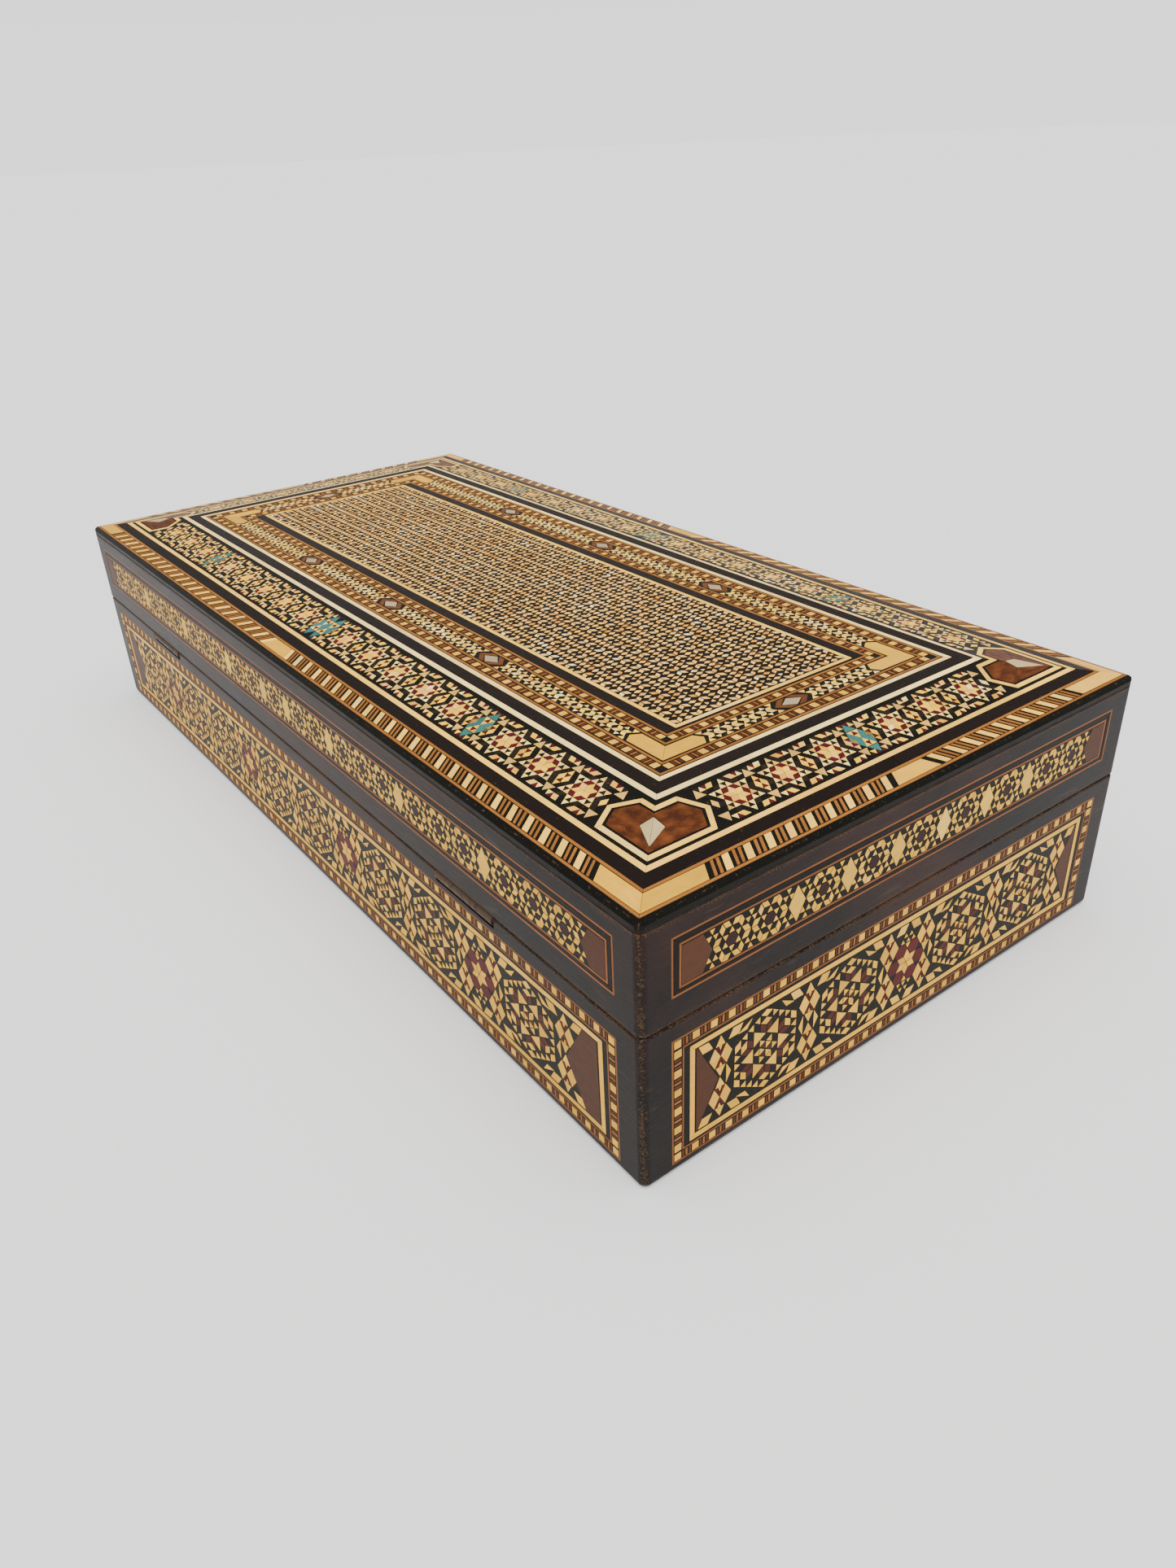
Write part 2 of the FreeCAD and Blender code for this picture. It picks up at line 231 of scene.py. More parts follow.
def feed(made, height=None, depth=0.0, **wires):
    """Joins wires to the shader's sockets, and height to a bump of that depth in metres."""
    shader = made.node_tree.nodes["Principled BSDF"]
    if height:
        wires["Normal"] = height.node("ShaderNodeBump", {"Distance": depth, "Height": height})
    for socket, wire in wires.items():
        made.node_tree.links.new(wire.socket, shader.inputs[socket.replace("_", " ")])


def place_in_mm(start):
    """The place on the object, in millimetres, as a vector and its three numbers."""
    place = start.node("ShaderNodeTexCoord", output=3).scaled(1 / MM)
    split = place.node("ShaderNodeSeparateXYZ", {0: place})
    parts = [Wire(split.tree, split.socket.node.outputs[axis]) for axis in range(3)]
    return place, parts


EASED = 0.4  # how far the rounded corners and eased edges stand back from sharp ones


def edge_distance(parts, levels):
    """How far a point on the outside is from the nearest edge of a box with rims at levels."""
    x, y, z = parts
    across = half_long - EASED - x.maths("ABSOLUTE", x)
    deep = half_wide - EASED - y.maths("ABSOLUTE", y)
    high = None
    for level in levels:
        gap = z.maths("ABSOLUTE", z - level)
        high = gap if high is None else high.least(gap)
    total = across + deep + high
    return total - across.least(deep).least(high) - across.most(deep).most(high)


def board_finish(name, levels, fresh, worn, run):
    """Dark polished wood, worn brown along its edges; run is the way that the grain goes."""
    made, start = finish(name, Specular_IOR_Level=0.085)
    place, parts = place_in_mm(start)
    stretch = (0.05, 1, 1) if run == "x" else (1, 0.05, 1)
    grain = place.noise(2.6, stretch)
    pores = place.noise(9.0, stretch, detail=2)
    cloud = place.noise(0.035, detail=4)
    nicks = place.noise(2.4, detail=8)
    reach_in = place.noise(0.12, detail=2)
    scratch = place.noise(1.0, (0.12, 0.12, 6), turn=0.7).within(0.64, 0.72)
    edge = edge_distance(parts, levels)
    rubbed = (edge + (nicks - 0.5) * 6.0).within(2.2 * reach_in - 0.5, -0.9)
    scuffed = place.noise(0.16, (0.5, 0.5, 2), detail=6).within(0.63, 0.78)
    rare = (rubbed * 0.8 + scuffed * 0.06 + scratch * 0.14).least(1.0)
    colour = cloud.within(0.42, 0.68).mixed(fresh, tint(44, 28, 24))
    colour = colour.scaled(0.7 + 0.6 * grain)
    colour = (scuffed * 0.4).mixed(colour, tint(78, 68, 60))
    colour = rare.mixed(colour, worn).scaled(0.85 + 0.3 * pores)
    rough = 0.36 + 0.16 * cloud + 0.3 * rare - 0.1 * grain
    height = grain * 0.3 + pores * 0.25 - scratch * 0.4 - rubbed * nicks
    feed(made, height, 0.00006, Base_Color=colour, Roughness=rough)
    return made


EBONY = tint(20, 16, 15)
WORN_WOOD = tint(84, 62, 40)
rims = (0.0, base_top, lid_low, rail_top)
board_along = board_finish("dark_board_long", rims, EBONY, WORN_WOOD, "x")
board_across = board_finish("dark_board_short", rims, EBONY, WORN_WOOD, "y")


def refinish(node_name, material):
    """Gives a frame piece its finish."""
    slots = frame["nodes"][node_name].data.materials
    slots.clear()
    slots.append(material)


for side in SIDES:
    refinish(f"base_{side}_board", board_along if side in ("front", "back") else board_across)

# Bottom: a pale softwood board let into a rebate and held by steel brads from below.
pale_wood, start = finish("pale_wood")
place, parts = place_in_mm(start)
rings = place.noise(0.35, (0.06, 1, 1), detail=4)
fibre = place.noise(5.0, (0.03, 1, 1))
stain = place.noise(0.03, detail=5)
timber_colour = rings.mixed(tint(188, 150, 102), tint(140, 100, 62))
timber_colour = timber_colour.scaled(0.75 + 0.3 * fibre + 0.25 * stain)
feed(pale_wood, fibre, 0.00008, Base_Color=timber_colour, Roughness=0.55 + 0.25 * stain)
refinish("base_bottom_panel", pale_wood)


def metal_finish(name, bright, tarnish, share, rough):
    """Old metal, darkened in patches, with fine scratches along X."""
    made, start = finish(name)
    place, parts = place_in_mm(start)
    patches = place.noise(0.9, detail=6).within(share - 0.15, share + 0.15)
    lines = place.noise(6.0, (0.1, 1, 1))
    colour = patches.mixed(tarnish, bright).scaled(0.8 + 0.4 * lines)
    feed(
        made,
        lines + patches * 0.5,
        0.00002,
        Base_Color=colour,
        Metallic=0.35 + 0.55 * patches,
        Roughness=rough + 0.25 * (1 - patches) + 0.1 * lines,
    )
    return made


steel = metal_finish("dull_steel", tint(150, 148, 144), tint(84, 66, 52), 0.45, 0.35)
refinish("bottom_pins", steel)

# Hinges: two small butt hinges of aged brass, let in flush under the rims; steel brads hold
# their leaves, and each barrel shows in its notch.
brass = metal_finish("aged_brass", tint(84, 64, 46), tint(52, 39, 30), 0.5, 0.45)
for hand in ("left", "right"):
    for part in ("base_leaf", "lid_leaf", "pin"):
        refinish(f"hinge_{hand}_{part}", brass)
refinish("hinge_base_brads", steel)
refinish("hinge_lid_brads", steel)

# Linings: dark red felt on thin card, a flat sheet and four walls glued into the base and the
# lid. The felt has rounded edges and a little unevenness in its nap.
felt, start = finish("red_felt", Sheen_Weight=0.35, Sheen_Roughness=0.5, Roughness=0.95)
felt.node_tree.nodes["Principled BSDF"].inputs["Sheen Tint"].default_value = tint(150, 52, 52)
place, parts = place_in_mm(start)
nap = place.noise(5.0, detail=4)
lie_of_nap = place.noise(0.05, (0.4, 1, 1), detail=4)
felt_colour = lie_of_nap.mixed(tint(64, 12, 17), tint(94, 19, 25)).scaled(0.7 + 0.6 * nap)
feed(felt, nap, 0.0003, Base_Color=felt_colour, Roughness=0.85 + 0.15 * nap)


def felt_sheet(node_name, body):
    """Felt over card in the place of a plain lining: its long faces are divided and uneven."""
    low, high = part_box(node_name)
    size = high - low
    thin = min(range(3), key=lambda axis: size[axis])
    face = [axis for axis in range(3) if axis != thin]
    counts = [max(4, round(size[axis] / 0.006)) for axis in face]
    rng = random.Random(node_name)
    waves = [(rng.uniform(20, 70), rng.uniform(20, 70), rng.uniform(0, 6)) for _ in range(4)]
    bm = bmesh.new()
    rows = []
    for skin in (0, 1):
        grid = []
        for i in range(counts[0] + 1):
            line = []
            for j in range(counts[1] + 1):
                spot = [0.0, 0.0, 0.0]
                along = size[face[0]] * i / counts[0]
                across = size[face[1]] * j / counts[1]
                spot[face[0]], spot[face[1]] = low[face[0]] + along, low[face[1]] + across
                rim = min(along, across, size[face[0]] - along, size[face[1]] - across)
                swell = 0.00012 * sum(math.sin(a * along + b * across + c) for a, b, c in waves) / 4
                drop = 0.00035 if rim < 1e-6 else 0.00014 + swell
                spot[thin] = low[thin] + drop if skin == 0 else high[thin] - drop
                line.append(bm.verts.new(spot))
            grid.append(line)
        rows.append(grid)
    for skin, grid in enumerate(rows):
        for i in range(counts[0]):
            for j in range(counts[1]):
                bm.faces.new((grid[i][j], grid[i + 1][j], grid[i + 1][j + 1], grid[i][j + 1]))
    lower, upper = rows
    rim_path = [(i, 0) for i in range(counts[0])] + [(counts[0], j) for j in range(counts[1])]
    rim_path += [(i, counts[1]) for i in range(counts[0], 0, -1)]
    rim_path += [(0, j) for j in range(counts[1], 0, -1)]
    for here, there in zip(rim_path, rim_path[1:] + rim_path[:1]):
        (i, j), (k, l) = here, there
        bm.faces.new((lower[i][j], lower[k][l], upper[k][l], upper[i][j]))
    bmesh.ops.recalc_face_normals(bm, faces=bm.faces)
    mesh = bpy.data.meshes.new(node_name)
    bm.to_mesh(mesh)
    bm.free()
    for polygon in mesh.polygons:
        polygon.use_smooth = True
    mesh.materials.append(felt)
    piece = bpy.data.objects.new(node_name.replace("lining", "felt"), mesh)
    bpy.context.scene.collection.objects.link(piece)
    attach(piece, body)
    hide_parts(node_name)


for body, flat_name in (("base", "floor"), ("lid", "ceiling")):
    for part in (flat_name, *SIDES):
        felt_sheet(f"{body}_lining_{part}", body)

# Base panels: on each side a framed sheet of mosaic, sawn from glued rods of bone and dyed wood
# and laid in a recess. Starred hexagons and red flowers stand between pairs of red hourglasses.
RELIEF = 0.04  # how far the dark ground lies below the tesserae, in millimetres
JOINT = 0.03  # half the dark joint between two tesserae
DEPTH = 0.3
ROW = math.sqrt(3) / 2
GROUND = tint(14, 13, 9)
# each timber's colour, and how much single tesserae differ from it
TIMBERS = {
    "bone": (tint(234, 184, 50), 0.7),
    "ivory": (tint(242, 206, 108), 0.7),
    "bone_line": (tint(240, 188, 74), 0.3),
    "bone_plate": (tint(206, 154, 40), 0.1),
    "blush": (tint(236, 182, 92), 0.9),
    "maple": (tint(214, 162, 52), 0.1),
    "pearl": (tint(160, 140, 108), 0.0),
    "kite": (tint(178, 158, 112), 0.0),
    "horn": (tint(196, 154, 76), 0.05),
    "boxwood": (tint(214, 168, 62), 0.1),
    "redwood": (tint(74, 19, 21), 0.0),
    "padauk": (tint(66, 29, 21), 0.0),
    "plum": (tint(42, 22, 21), 0.0),
    "brown": (tint(94, 54, 24), 0.0),
    "slice": (tint(84, 44, 20), 0.0),
    "burl": (tint(62, 30, 14), -1.0),
    "end_plate": (tint(72, 42, 27), 0.0),
    "orange": (tint(136, 86, 36), 0.0),
    "cherry": (tint(120, 73, 38), 0.0),
    "rosewood": (tint(22, 14, 10), 0.0),
    "teal": (tint(50, 98, 93), 0.0),
    "cream": (tint(240, 194, 84), 0.7),
    "white_line": (tint(248, 216, 136), 0.3),
    "ebony": (tint(15, 13, 10), 0.0),
    "smoked": (tint(32, 24, 18), 0.0),
}


def inset(points, gap):
    """The corners of a convex outline, counter-clockwise, moved in by gap."""
    moved = []
    for i, here in enumerate(points):
        into = (here - points[i - 1]).normalized()
        out = (points[(i + 1) % len(points)] - here).normalized()
        first, second = Vector((-into.y, into.x)), Vector((-out.y, out.x))
        moved.append(here + (first + second) * (gap / (1 + first.dot(second))))
    return moved


def tesserae(name, pieces, gap=JOINT):
    """A mesh of separate prisms, one for each piece, with their tops at the surface."""
    verts, faces, colours = [], [], []
    for timber, points in pieces:
        outline = [Vector(point) for point in points]
        if sum(a.cross(b) for a, b in zip(outline, outline[1:] + outline[:1])) < 0:
            outline.reverse()
        outline = inset(outline, gap)
        first, count = len(verts), len(outline)
        verts += [(p.x, p.y, 0) for p in outline] + [(p.x, p.y, -DEPTH) for p in outline]
        top = list(range(first, first + count))
        low = [corner + count for corner in top]
        faces += [top, low[::-1]]
        faces += [(top[i - 1], low[i - 1], low[i], top[i]) for i in range(count)]
        colour, spread = TIMBERS[timber]
        colours += [(*colour[:3], spread)] * (count + 2)
    mesh = bpy.data.meshes.new(name)
    mesh.from_pydata(verts, [], faces)
    shades = mesh.attributes.new("timber", "FLOAT_COLOR", "FACE")
    shades.data.foreach_set("color", [part for colour in colours for part in colour])
    piece = bpy.data.objects.new(name, mesh)
    return piece


def at(timber, *points):
    """One tessera on the triangle grid: its corners as steps along and rows up."""
    return timber, [(x, row * ROW) for x, row in points]


def turned(pieces, degrees):
    c, s = math.cos(math.radians(degrees)), math.sin(math.radians(degrees))
    return [(timber, [(c * x - s * y, s * x + c * y) for x, y in points]) for timber, points in pieces]


def spun(pieces):
    return [piece for step in range(6) for piece in turned(pieces, 60 * step)]


def mirrored(pieces, along=True, up=True):
    both = list(pieces)
    if along:
        both += [(timber, [(-x, y) for x, y in points]) for timber, points in both]
    if up:
        both += [(timber, [(x, -y) for x, y in points]) for timber, points in both]
    return both


def shifted(pieces, x, y=0.0, wide=1.0, high=1.0):
    return [(timber, [(x + wide * a, y + high * b) for a, b in points]) for timber, points in pieces]


def course_tree():
    """Sets blocks of tesserae at points: each point says which block, its place and its size."""
    tree = bpy.data.node_groups.new("course_of_blocks", "GeometryNodeTree")
    face = tree.interface
    face.new_socket("Points", in_out="INPUT", socket_type="NodeSocketGeometry")
    face.new_socket("Blocks", in_out="INPUT", socket_type="NodeSocketCollection")
    face.new_socket("Seed", in_out="INPUT", socket_type="NodeSocketInt")
    face.new_socket("Finish", in_out="INPUT", socket_type="NodeSocketMaterial")
    face.new_socket("Course", in_out="OUTPUT", socket_type="NodeSocketGeometry")

    def add(kind, links=(), values=(), **settings):
        made = tree.nodes.new(kind)
        for name, value in settings.items():
            setattr(made, name, value)
        for socket, value in dict(values).items():
            made.inputs[socket].default_value = value
        for socket, source in dict(links).items():
            tree.links.new(source, made.inputs[socket])
        return made

    given = add("NodeGroupInput").outputs
    blocks = add("GeometryNodeCollectionInfo", {"Collection": given["Blocks"]})
    blocks.inputs["Separate Children"].default_value = True
    blocks.inputs["Reset Children"].default_value = True
    which = add("GeometryNodeInputNamedAttribute", values={"Name": "which"}, data_type="INT")
    size = add("GeometryNodeInputNamedAttribute", values={"Name": "size"}, data_type="FLOAT_VECTOR")
    placed = add(
        "GeometryNodeInstanceOnPoints",
        {
            "Points": given["Points"],
            "Instance": blocks.outputs["Instances"],
            "Instance Index": which.outputs["Attribute"],
            "Scale": size.outputs["Attribute"],
        },
        {"Pick Instance": True},
    )
    real = add("GeometryNodeRealizeInstances", {"Geometry": placed.outputs["Instances"]})
    island = add("GeometryNodeInputMeshIsland")
    chance = add("FunctionNodeRandomValue", {"ID": island.outputs["Island Index"], "Seed": given["Seed"]})
    toned = add(
        "GeometryNodeStoreNamedAttribute",
        {"Geometry": real.outputs["Geometry"], "Value": chance.outputs[1]},
        {"Name": "tone"},
        data_type="FLOAT",
        domain="FACE",
    )
    wear = {"Geometry": toned.outputs["Geometry"], "Material": given["Finish"]}
    dressed = add("GeometryNodeSetMaterial", wear)
    add("NodeGroupOutput", {0: dressed.outputs["Geometry"]})
    return tree


COURSE = course_tree()


def marquetry_finish(levels):
    """Polished bone, pearl and dyed wood; each tessera has its own tone and grain."""
    made, start = finish("marquetry", Specular_IOR_Level=0.08)
    lie = start.node("ShaderNodeAttribute", output=1, attribute_name="lie")
    timber = start.node("ShaderNodeAttribute", attribute_name="timber")
    alpha = Wire(start.tree, timber.socket.node.outputs["Alpha"])
    spread, burl = alpha.most(0.0), alpha.maths("LESS_THAN", alpha, -0.5)
    tone = start.node("ShaderNodeAttribute", output=2, attribute_name="tone")
    own = lie.node("ShaderNodeVectorMath", {0: lie, 1: (tone * 61.0)}, operation="ADD")
    streak = own.noise(1.0, (0.35, 5.0, 1), detail=3)
    cloud = own.noise(0.5, (0.6, 1.6, 1), detail=4)
    dirt = lie.noise(0.06, detail=4)
    lustre = lie.noise(0.9, turn=0.5, detail=2)
    warm = lie.noise(0.045, detail=3)
    white = ((tone - 1.1 * (warm - 0.5)).within(0.93, 0.95) * spread).mixed(timber, tint(246, 224, 164))
    pink = ((tone + 1.2 * (warm - 0.5)).within(0.2, 0.18) * spread).mixed(white, tint(228, 170, 94))
    amber = tone.maths("FRACT", tone * 7.0) + 1.1 * (warm - 0.5)
    honey = (amber.within(0.86, 0.9) * spread).mixed(pink, tint(204, 138, 52))
    bright = (0.80 + 0.26 * tone.maths("FRACT", tone * 13.0)) * (0.84 + 0.32 * streak)
    bright = bright * (0.86 + 0.28 * cloud)
    swirl = lie.noise(0.32, (1.0, 1.6, 1), detail=6).within(0.38, 0.7)
    figured = (burl * swirl).mixed(honey, tint(106, 57, 26))
    colour = figured.scaled(bright * (0.82 + 0.34 * dirt))
    place, parts = place_in_mm(start)
    nicks = place.noise(1.6, detail=5)
    edge = edge_distance(parts, levels)
    rubbed = (edge + (nicks - 0.5) * 1.6).within(0.22, -0.15)
    scratch = place.noise(1.0, (0.14, 7, 7), turn=0.6).within(0.68, 0.74)
    colour = (rubbed * 0.7 + scratch * 0.07).mixed(colour, WORN_WOOD)
    specks = place.noise(2.2, detail=2).within(0.7, 0.74)
    colour = (specks * 0.22).mixed(colour, tint(150, 112, 66))
    rough = 0.36 + 0.14 * dirt + 0.1 * lustre + 0.25 * rubbed + 0.15 * scratch - 0.08 * streak
    height = streak * 0.35 + cloud * 0.3 + lustre * 0.8 - scratch * 0.5 - rubbed * nicks
    feed(made, height, 0.00003, Base_Color=colour, Roughness=rough)
    return made


crown_top = outside_high.z
crown_rise = 3.75  # from the lid's outer rim up to its flat middle
inlay_finish = marquetry_finish((crown_top - crown_rise,))


def course(name, blocks, stops, seed):
    """A plain mesh of blocks of tesserae set at stops: (block, x, y, wide, high)."""
    shelf = bpy.data.collections.new(name + "_blocks")
    for number, (pieces, gap) in enumerate(blocks):
        shelf.objects.link(tesserae(f"{name}_{number}", pieces, gap))
    mesh = bpy.data.meshes.new(name + "_stops")
    mesh.from_pydata([(x, y, 0) for _, x, y, _, _ in stops], [], [])
    which = mesh.attributes.new("which", "INT", "POINT")
    which.data.foreach_set("value", [stop[0] for stop in stops])
    size = mesh.attributes.new("size", "FLOAT_VECTOR", "POINT")
    size.data.foreach_set("vector", [part for stop in stops for part in (stop[3], stop[4], 1)])
    line = bpy.data.objects.new(name, mesh)
    bpy.context.scene.collection.objects.link(line)
    modifier = line.modifiers.new("course", "NODES")
    modifier.node_group = COURSE
    given = {"Blocks": shelf, "Seed": seed, "Finish": inlay_finish}
    for item in COURSE.interface.items_tree:
        if item.name in given:
            modifier[item.identifier] = given[item.name]
    bpy.context.view_layer.update()
    evaluated = line.evaluated_get(bpy.context.evaluated_depsgraph_get())
    plain = bpy.data.meshes.new_from_object(evaluated)
    line.modifiers.remove(modifier)
    line.data = plain
    for made in list(shelf.objects):
        bpy.data.objects.remove(made)
    bpy.data.collections.remove(shelf)
    return line


def loose(name, pieces, seed, gap=JOINT):
    """A plain mesh of single tesserae, each with its own tone."""
    piece = tesserae(name, pieces, gap)
    rng = random.Random(seed)
    tones = []
    for _, points in pieces:
        tones += [rng.random()] * (len(points) + 2)
    tone = piece.data.attributes.new("tone", "FLOAT", "FACE")
    tone.data.foreach_set("value", tones)
    piece.data.materials.append(inlay_finish)
    bpy.context.scene.collection.objects.link(piece)
    return piece


def strip(timber, near, far, half, ends=None, every=45, seed=1):
    """A long line or band between two depths, cut into lengths; ends are its mitres' set-backs."""
    ends = ends or (near, far)
    rng = random.Random(f"{timber}{near}{half}{seed}")
    cuts, x = [], -half + max(ends) + every * rng.uniform(0.3, 0.9)
    while every and x < half - max(ends) - 6:
        cuts.append(x)
        x += every * rng.uniform(0.6, 1.3)
    lows = [-half + ends[0], *cuts, half - ends[0]]
    highs = [-half + ends[1], *cuts, half - ends[1]]
    return [
        (timber, [(lows[i], near), (lows[i + 1], near), (highs[i + 1], far), (highs[i], far)])
        for i in range(len(cuts) + 1)
    ]


def frame_of(timber, half, low, high, width, every=60):
    """Four mitred strips that make a rectangle; width goes inwards from its outside."""
    pieces = []
    for side_half, depth_half, turn in ((half, (high - low) / 2, 0), ((high - low) / 2, half, 90)):
        for flip in (0, 180):
            line = strip(timber, 0, width, side_half, every=every, seed=turn + flip)
            line = shifted(line, 0, -depth_half)
            pieces += turned(line, turn + flip)
    return shifted(pieces, 0, (low + high) / 2)


WOBBLE = 0.11  # how far the sawn pieces stray from their drawn places
CALM_RIM = 1.5  # width of the rim in which the straying dies out
noise.seed_set(7)  # without a seed the noise, and with it every outline, would differ in each run


def hand_sawn(mesh, mitred):
    """Moves the tesserae a little out of true, but not at the rims of their sheet."""
    spots = [vert.co for vert in mesh.vertices]
    half = max(spot.x for spot in spots)
    near, far = min(spot.y for spot in spots), max(spot.y for spot in spots)
    for spot in spots:
        room = min(half - abs(spot.x) - (spot.y - near if mitred else 0), spot.y - near, far - spot.y)
        drift = noise.noise_vector((spot.x * 0.35, spot.y * 0.35, half))
        drift += 0.5 * noise.noise_vector((spot.x * 1.1, spot.y * 1.1, half))
        drift *= WOBBLE * max(0, min(1, room / CALM_RIM))
        spot.x += drift.x
        spot.y += drift.y


def sheet_of(name, node_name, body, placement, parts, rows, mitred=False):
    """Joins tesserae and their dark ground into one piece that stands for a frame piece."""
    lifted = placement.inverted()
    bm = bmesh.new()
    bm.from_mesh(frame["nodes"][node_name].data)
    bmesh.ops.remove_doubles(bm, verts=bm.verts, dist=1e-7)
    bmesh.ops.transform(bm, matrix=Matrix.Translation((0, 0, -RELIEF)) @ lifted, verts=bm.verts)
    low = min(vert.co.x for vert in bm.verts)
    high = max(vert.co.x for vert in bm.verts)
    near = min(vert.co.y for vert in bm.verts)
    wide = max(vert.co.y for vert in bm.verts) - near
    length = (high - low) / rows
    for row in range(1, rows):
        everything = bm.verts[:] + bm.edges[:] + bm.faces[:]
        bmesh.ops.bisect_plane(bm, geom=everything, plane_co=(low + row * length, 0, 0), plane_no=(1, 0, 0))
    mesh = bpy.data.meshes.new(name)
    bm.to_mesh(mesh)
    bm.free()
    mesh.materials.clear()
    mesh.materials.append(inlay_finish)
    timber = mesh.attributes.new("timber", "FLOAT_COLOR", "FACE")
    timber.data.foreach_set("color", [*GROUND[:3], 0.0] * len(mesh.polygons))
    tone = mesh.attributes.new("tone", "FLOAT", "FACE")
    tone.data.foreach_set("value", [0.5] * len(mesh.polygons))
    piece = bpy.data.objects.new(name, mesh)
    bpy.context.scene.collection.objects.link(piece)
    bpy.ops.object.select_all(action="DESELECT")
    for part in (piece, *parts):
        part.select_set(True)
    bpy.context.view_layer.objects.active = piece
    bpy.ops.object.join()
    mesh = piece.data
    while len(mesh.uv_layers):
        mesh.uv_layers.remove(mesh.uv_layers[0])
    margin = 1.5
    scale = 1 / max(length + 2 * margin, rows * (wide + margin) + margin)
    chart = mesh.uv_layers.new(name="OFBake")
    lie = mesh.attributes.new("lie", "FLOAT_VECTOR", "POINT")
    lie.data.foreach_set("vector", [part for vert in mesh.vertices for part in vert.co])
    hand_sawn(mesh, mitred)
    spots = [0.0] * (2 * len(mesh.loops))
    for polygon in mesh.polygons:
        row = min(rows - 1, max(0, int((polygon.center.x - low) / length)))
        for loop in polygon.loop_indices:
            spot = mesh.vertices[mesh.loops[loop].vertex_index].co
            spots[2 * loop] = (spot.x - low - row * length + margin) * scale
            spots[2 * loop + 1] = (spot.y - near + row * (wide + margin) + margin) * scale
    chart.uv.foreach_set("vector", spots)
    mesh.transform(placement)
    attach(piece, body)
    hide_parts(node_name)
    return piece


def side_face(side):
    """From a drawing of a side, in millimetres, to its place: X along, Y up, Z outwards."""
    depth = half_wide if side in ("front", "back") else half_long
    upright = Matrix(((1, 0, 0, 0), (0, 0, -1, -depth), (0, 1, 0, 0), (0, 0, 0, 1)))
    return Matrix.Scale(MM, 4) @ Matrix.Rotation(math.radians(SIDES[side]), 4, "Z") @ upright


def lined_up(order, widths):
    """Centres of a row of blocks, named by letters, about its middle."""
    total = sum(widths[letter] for letter in order)
    centres, x = [], -total / 2
    for letter in order:
        centres.append(x + widths[letter] / 2)
        x += widths[letter]
    return centres


BAND = 1.3  # height of a row of the base mosaic


def post(left, right):
    """Two red hourglasses one above the other, with bone lozenges at their waists."""
    upper = [
        ("maple", [(0, 8), (-1.3, 6), (1.3, 6)]),
        ("redwood", [(-1.5, 6), (-0.5, 6), (-0.25, 5), (-0.75, 5)]),
        ("redwood", [(0.5, 6), (1.5, 6), (0.75, 5), (0.25, 5)]),
        ("maple", [(-0.5, 6), (0.5, 6), (0, 5)]),
        ("redwood", [(-0.75, 5), (0.75, 5), (0, 4)]),
        ("redwood", [(-0.75, 3), (0, 4), (0.75, 3)]),
        ("redwood", [(-1.5, 2), (-0.75, 3), (-0.25, 3), (-0.5, 2)]),
        ("redwood", [(1.5, 2), (0.5, 2), (0.25, 3), (0.75, 3)]),
        ("maple", [(-0.5, 2), (0, 3), (0.5, 2)]),
        ("maple", [(1.5, 6), (0, 4), (1.5, 2), (3, 4)]),
        ("maple", [(-1.5, 6), (-3, 4), (-1.5, 2), (0, 4)]),
        ("maple", [(-1.3, 2), (0, 0), (1.3, 2)]),
    ]
    corner = ("maple", [(1.9, 6.3), (4.6, 6.3), (5.7, 8), (3.1, 8)])
    flank = ("maple", [(1.5, -2), (2.9, 0), (1.5, 2)])
    if left:
        upper += mirrored([corner], up=False)[1:]
    if right:
        upper.append(corner)
    pieces = mirrored(upper, along=False)
    if left == "flank":
        pieces += mirrored([flank], up=False)[1:]
    if right == "flank":
        pieces.append(flank)
    return [(timber, [(x, y * BAND) for x, y in points]) for timber, points in pieces]


def hex_grid(timber, *points):
    """One tessera on the upright triangle grid of the hexagons."""
    return timber, [(x * ROW, y) for x, y in points]


star_hexagon = spun(
    [
        hex_grid("maple", (4, 0), (2, 1), (2, -1)),
        hex_grid("padauk", (-1, 2.5), (0, 2), (0, 3), (-1, 3.5)),
        hex_grid("padauk", (1, 2.5), (1, 3.5), (0, 3), (0, 2)),
        hex_grid("maple", (0, 3), (1, 3.5), (0, 4), (-1, 3.5)),
        hex_grid("maple", (0, 4), (1, 4.5), (0, 5), (-1, 4.5)),
        hex_grid("maple", (-1, 4.5), (-2, 4), (-1, 3.5)),
        hex_grid("maple", (-2, 4), (-3, 3.5), (-2, 3)),
        hex_grid("maple", (-3, 3.5), (-4, 3), (-3, 2.5)),
        hex_grid("maple", (0, 1), (1, 0.5), (1, 1.5)),
    ]
)
for sixth in range(6):
    wedge = hex_grid("padauk" if sixth % 2 else "maple", (0, 0), (1, 0.5), (0, 1))
    star_hexagon += turned([wedge], 60 * sixth)
star_hexagon += mirrored([("maple", [(1.9, 5.0), (2.65, 3.85), (4.15, 3.85)])])

flower = spun(
    [
        at("maple", (0, 0), (1, 0), (1.5, 1), (0.5, 1)),
        at("redwood", (1, 0), (1.5, -1), (2.5, -1), (3, 0), (2.5, 1), (1.5, 1)),
    ]
)
flower += mirrored(
    [
        at("maple", (-0.42, 2.95), (0, 2.1), (0.42, 2.95)),
        at("maple", (-0.35, 3.1), (0.35, 3.1), (0, 3.8)),
        at("maple", (0.5, 3.1), (1.2, 3.1), (0.85, 3.8)),
        at("maple", (-0.5, 3.1), (-0.85, 3.8), (-1.2, 3.1)),
        at("maple", (0.08, 3.95), (0.76, 3.95), (0.42, 4.65)),
        at("maple", (-0.08, 3.95), (-0.42, 4.65), (-0.76, 3.95)),
    ],
    along=False,
)


SQUARE = 0.85  # half the width of a bone square


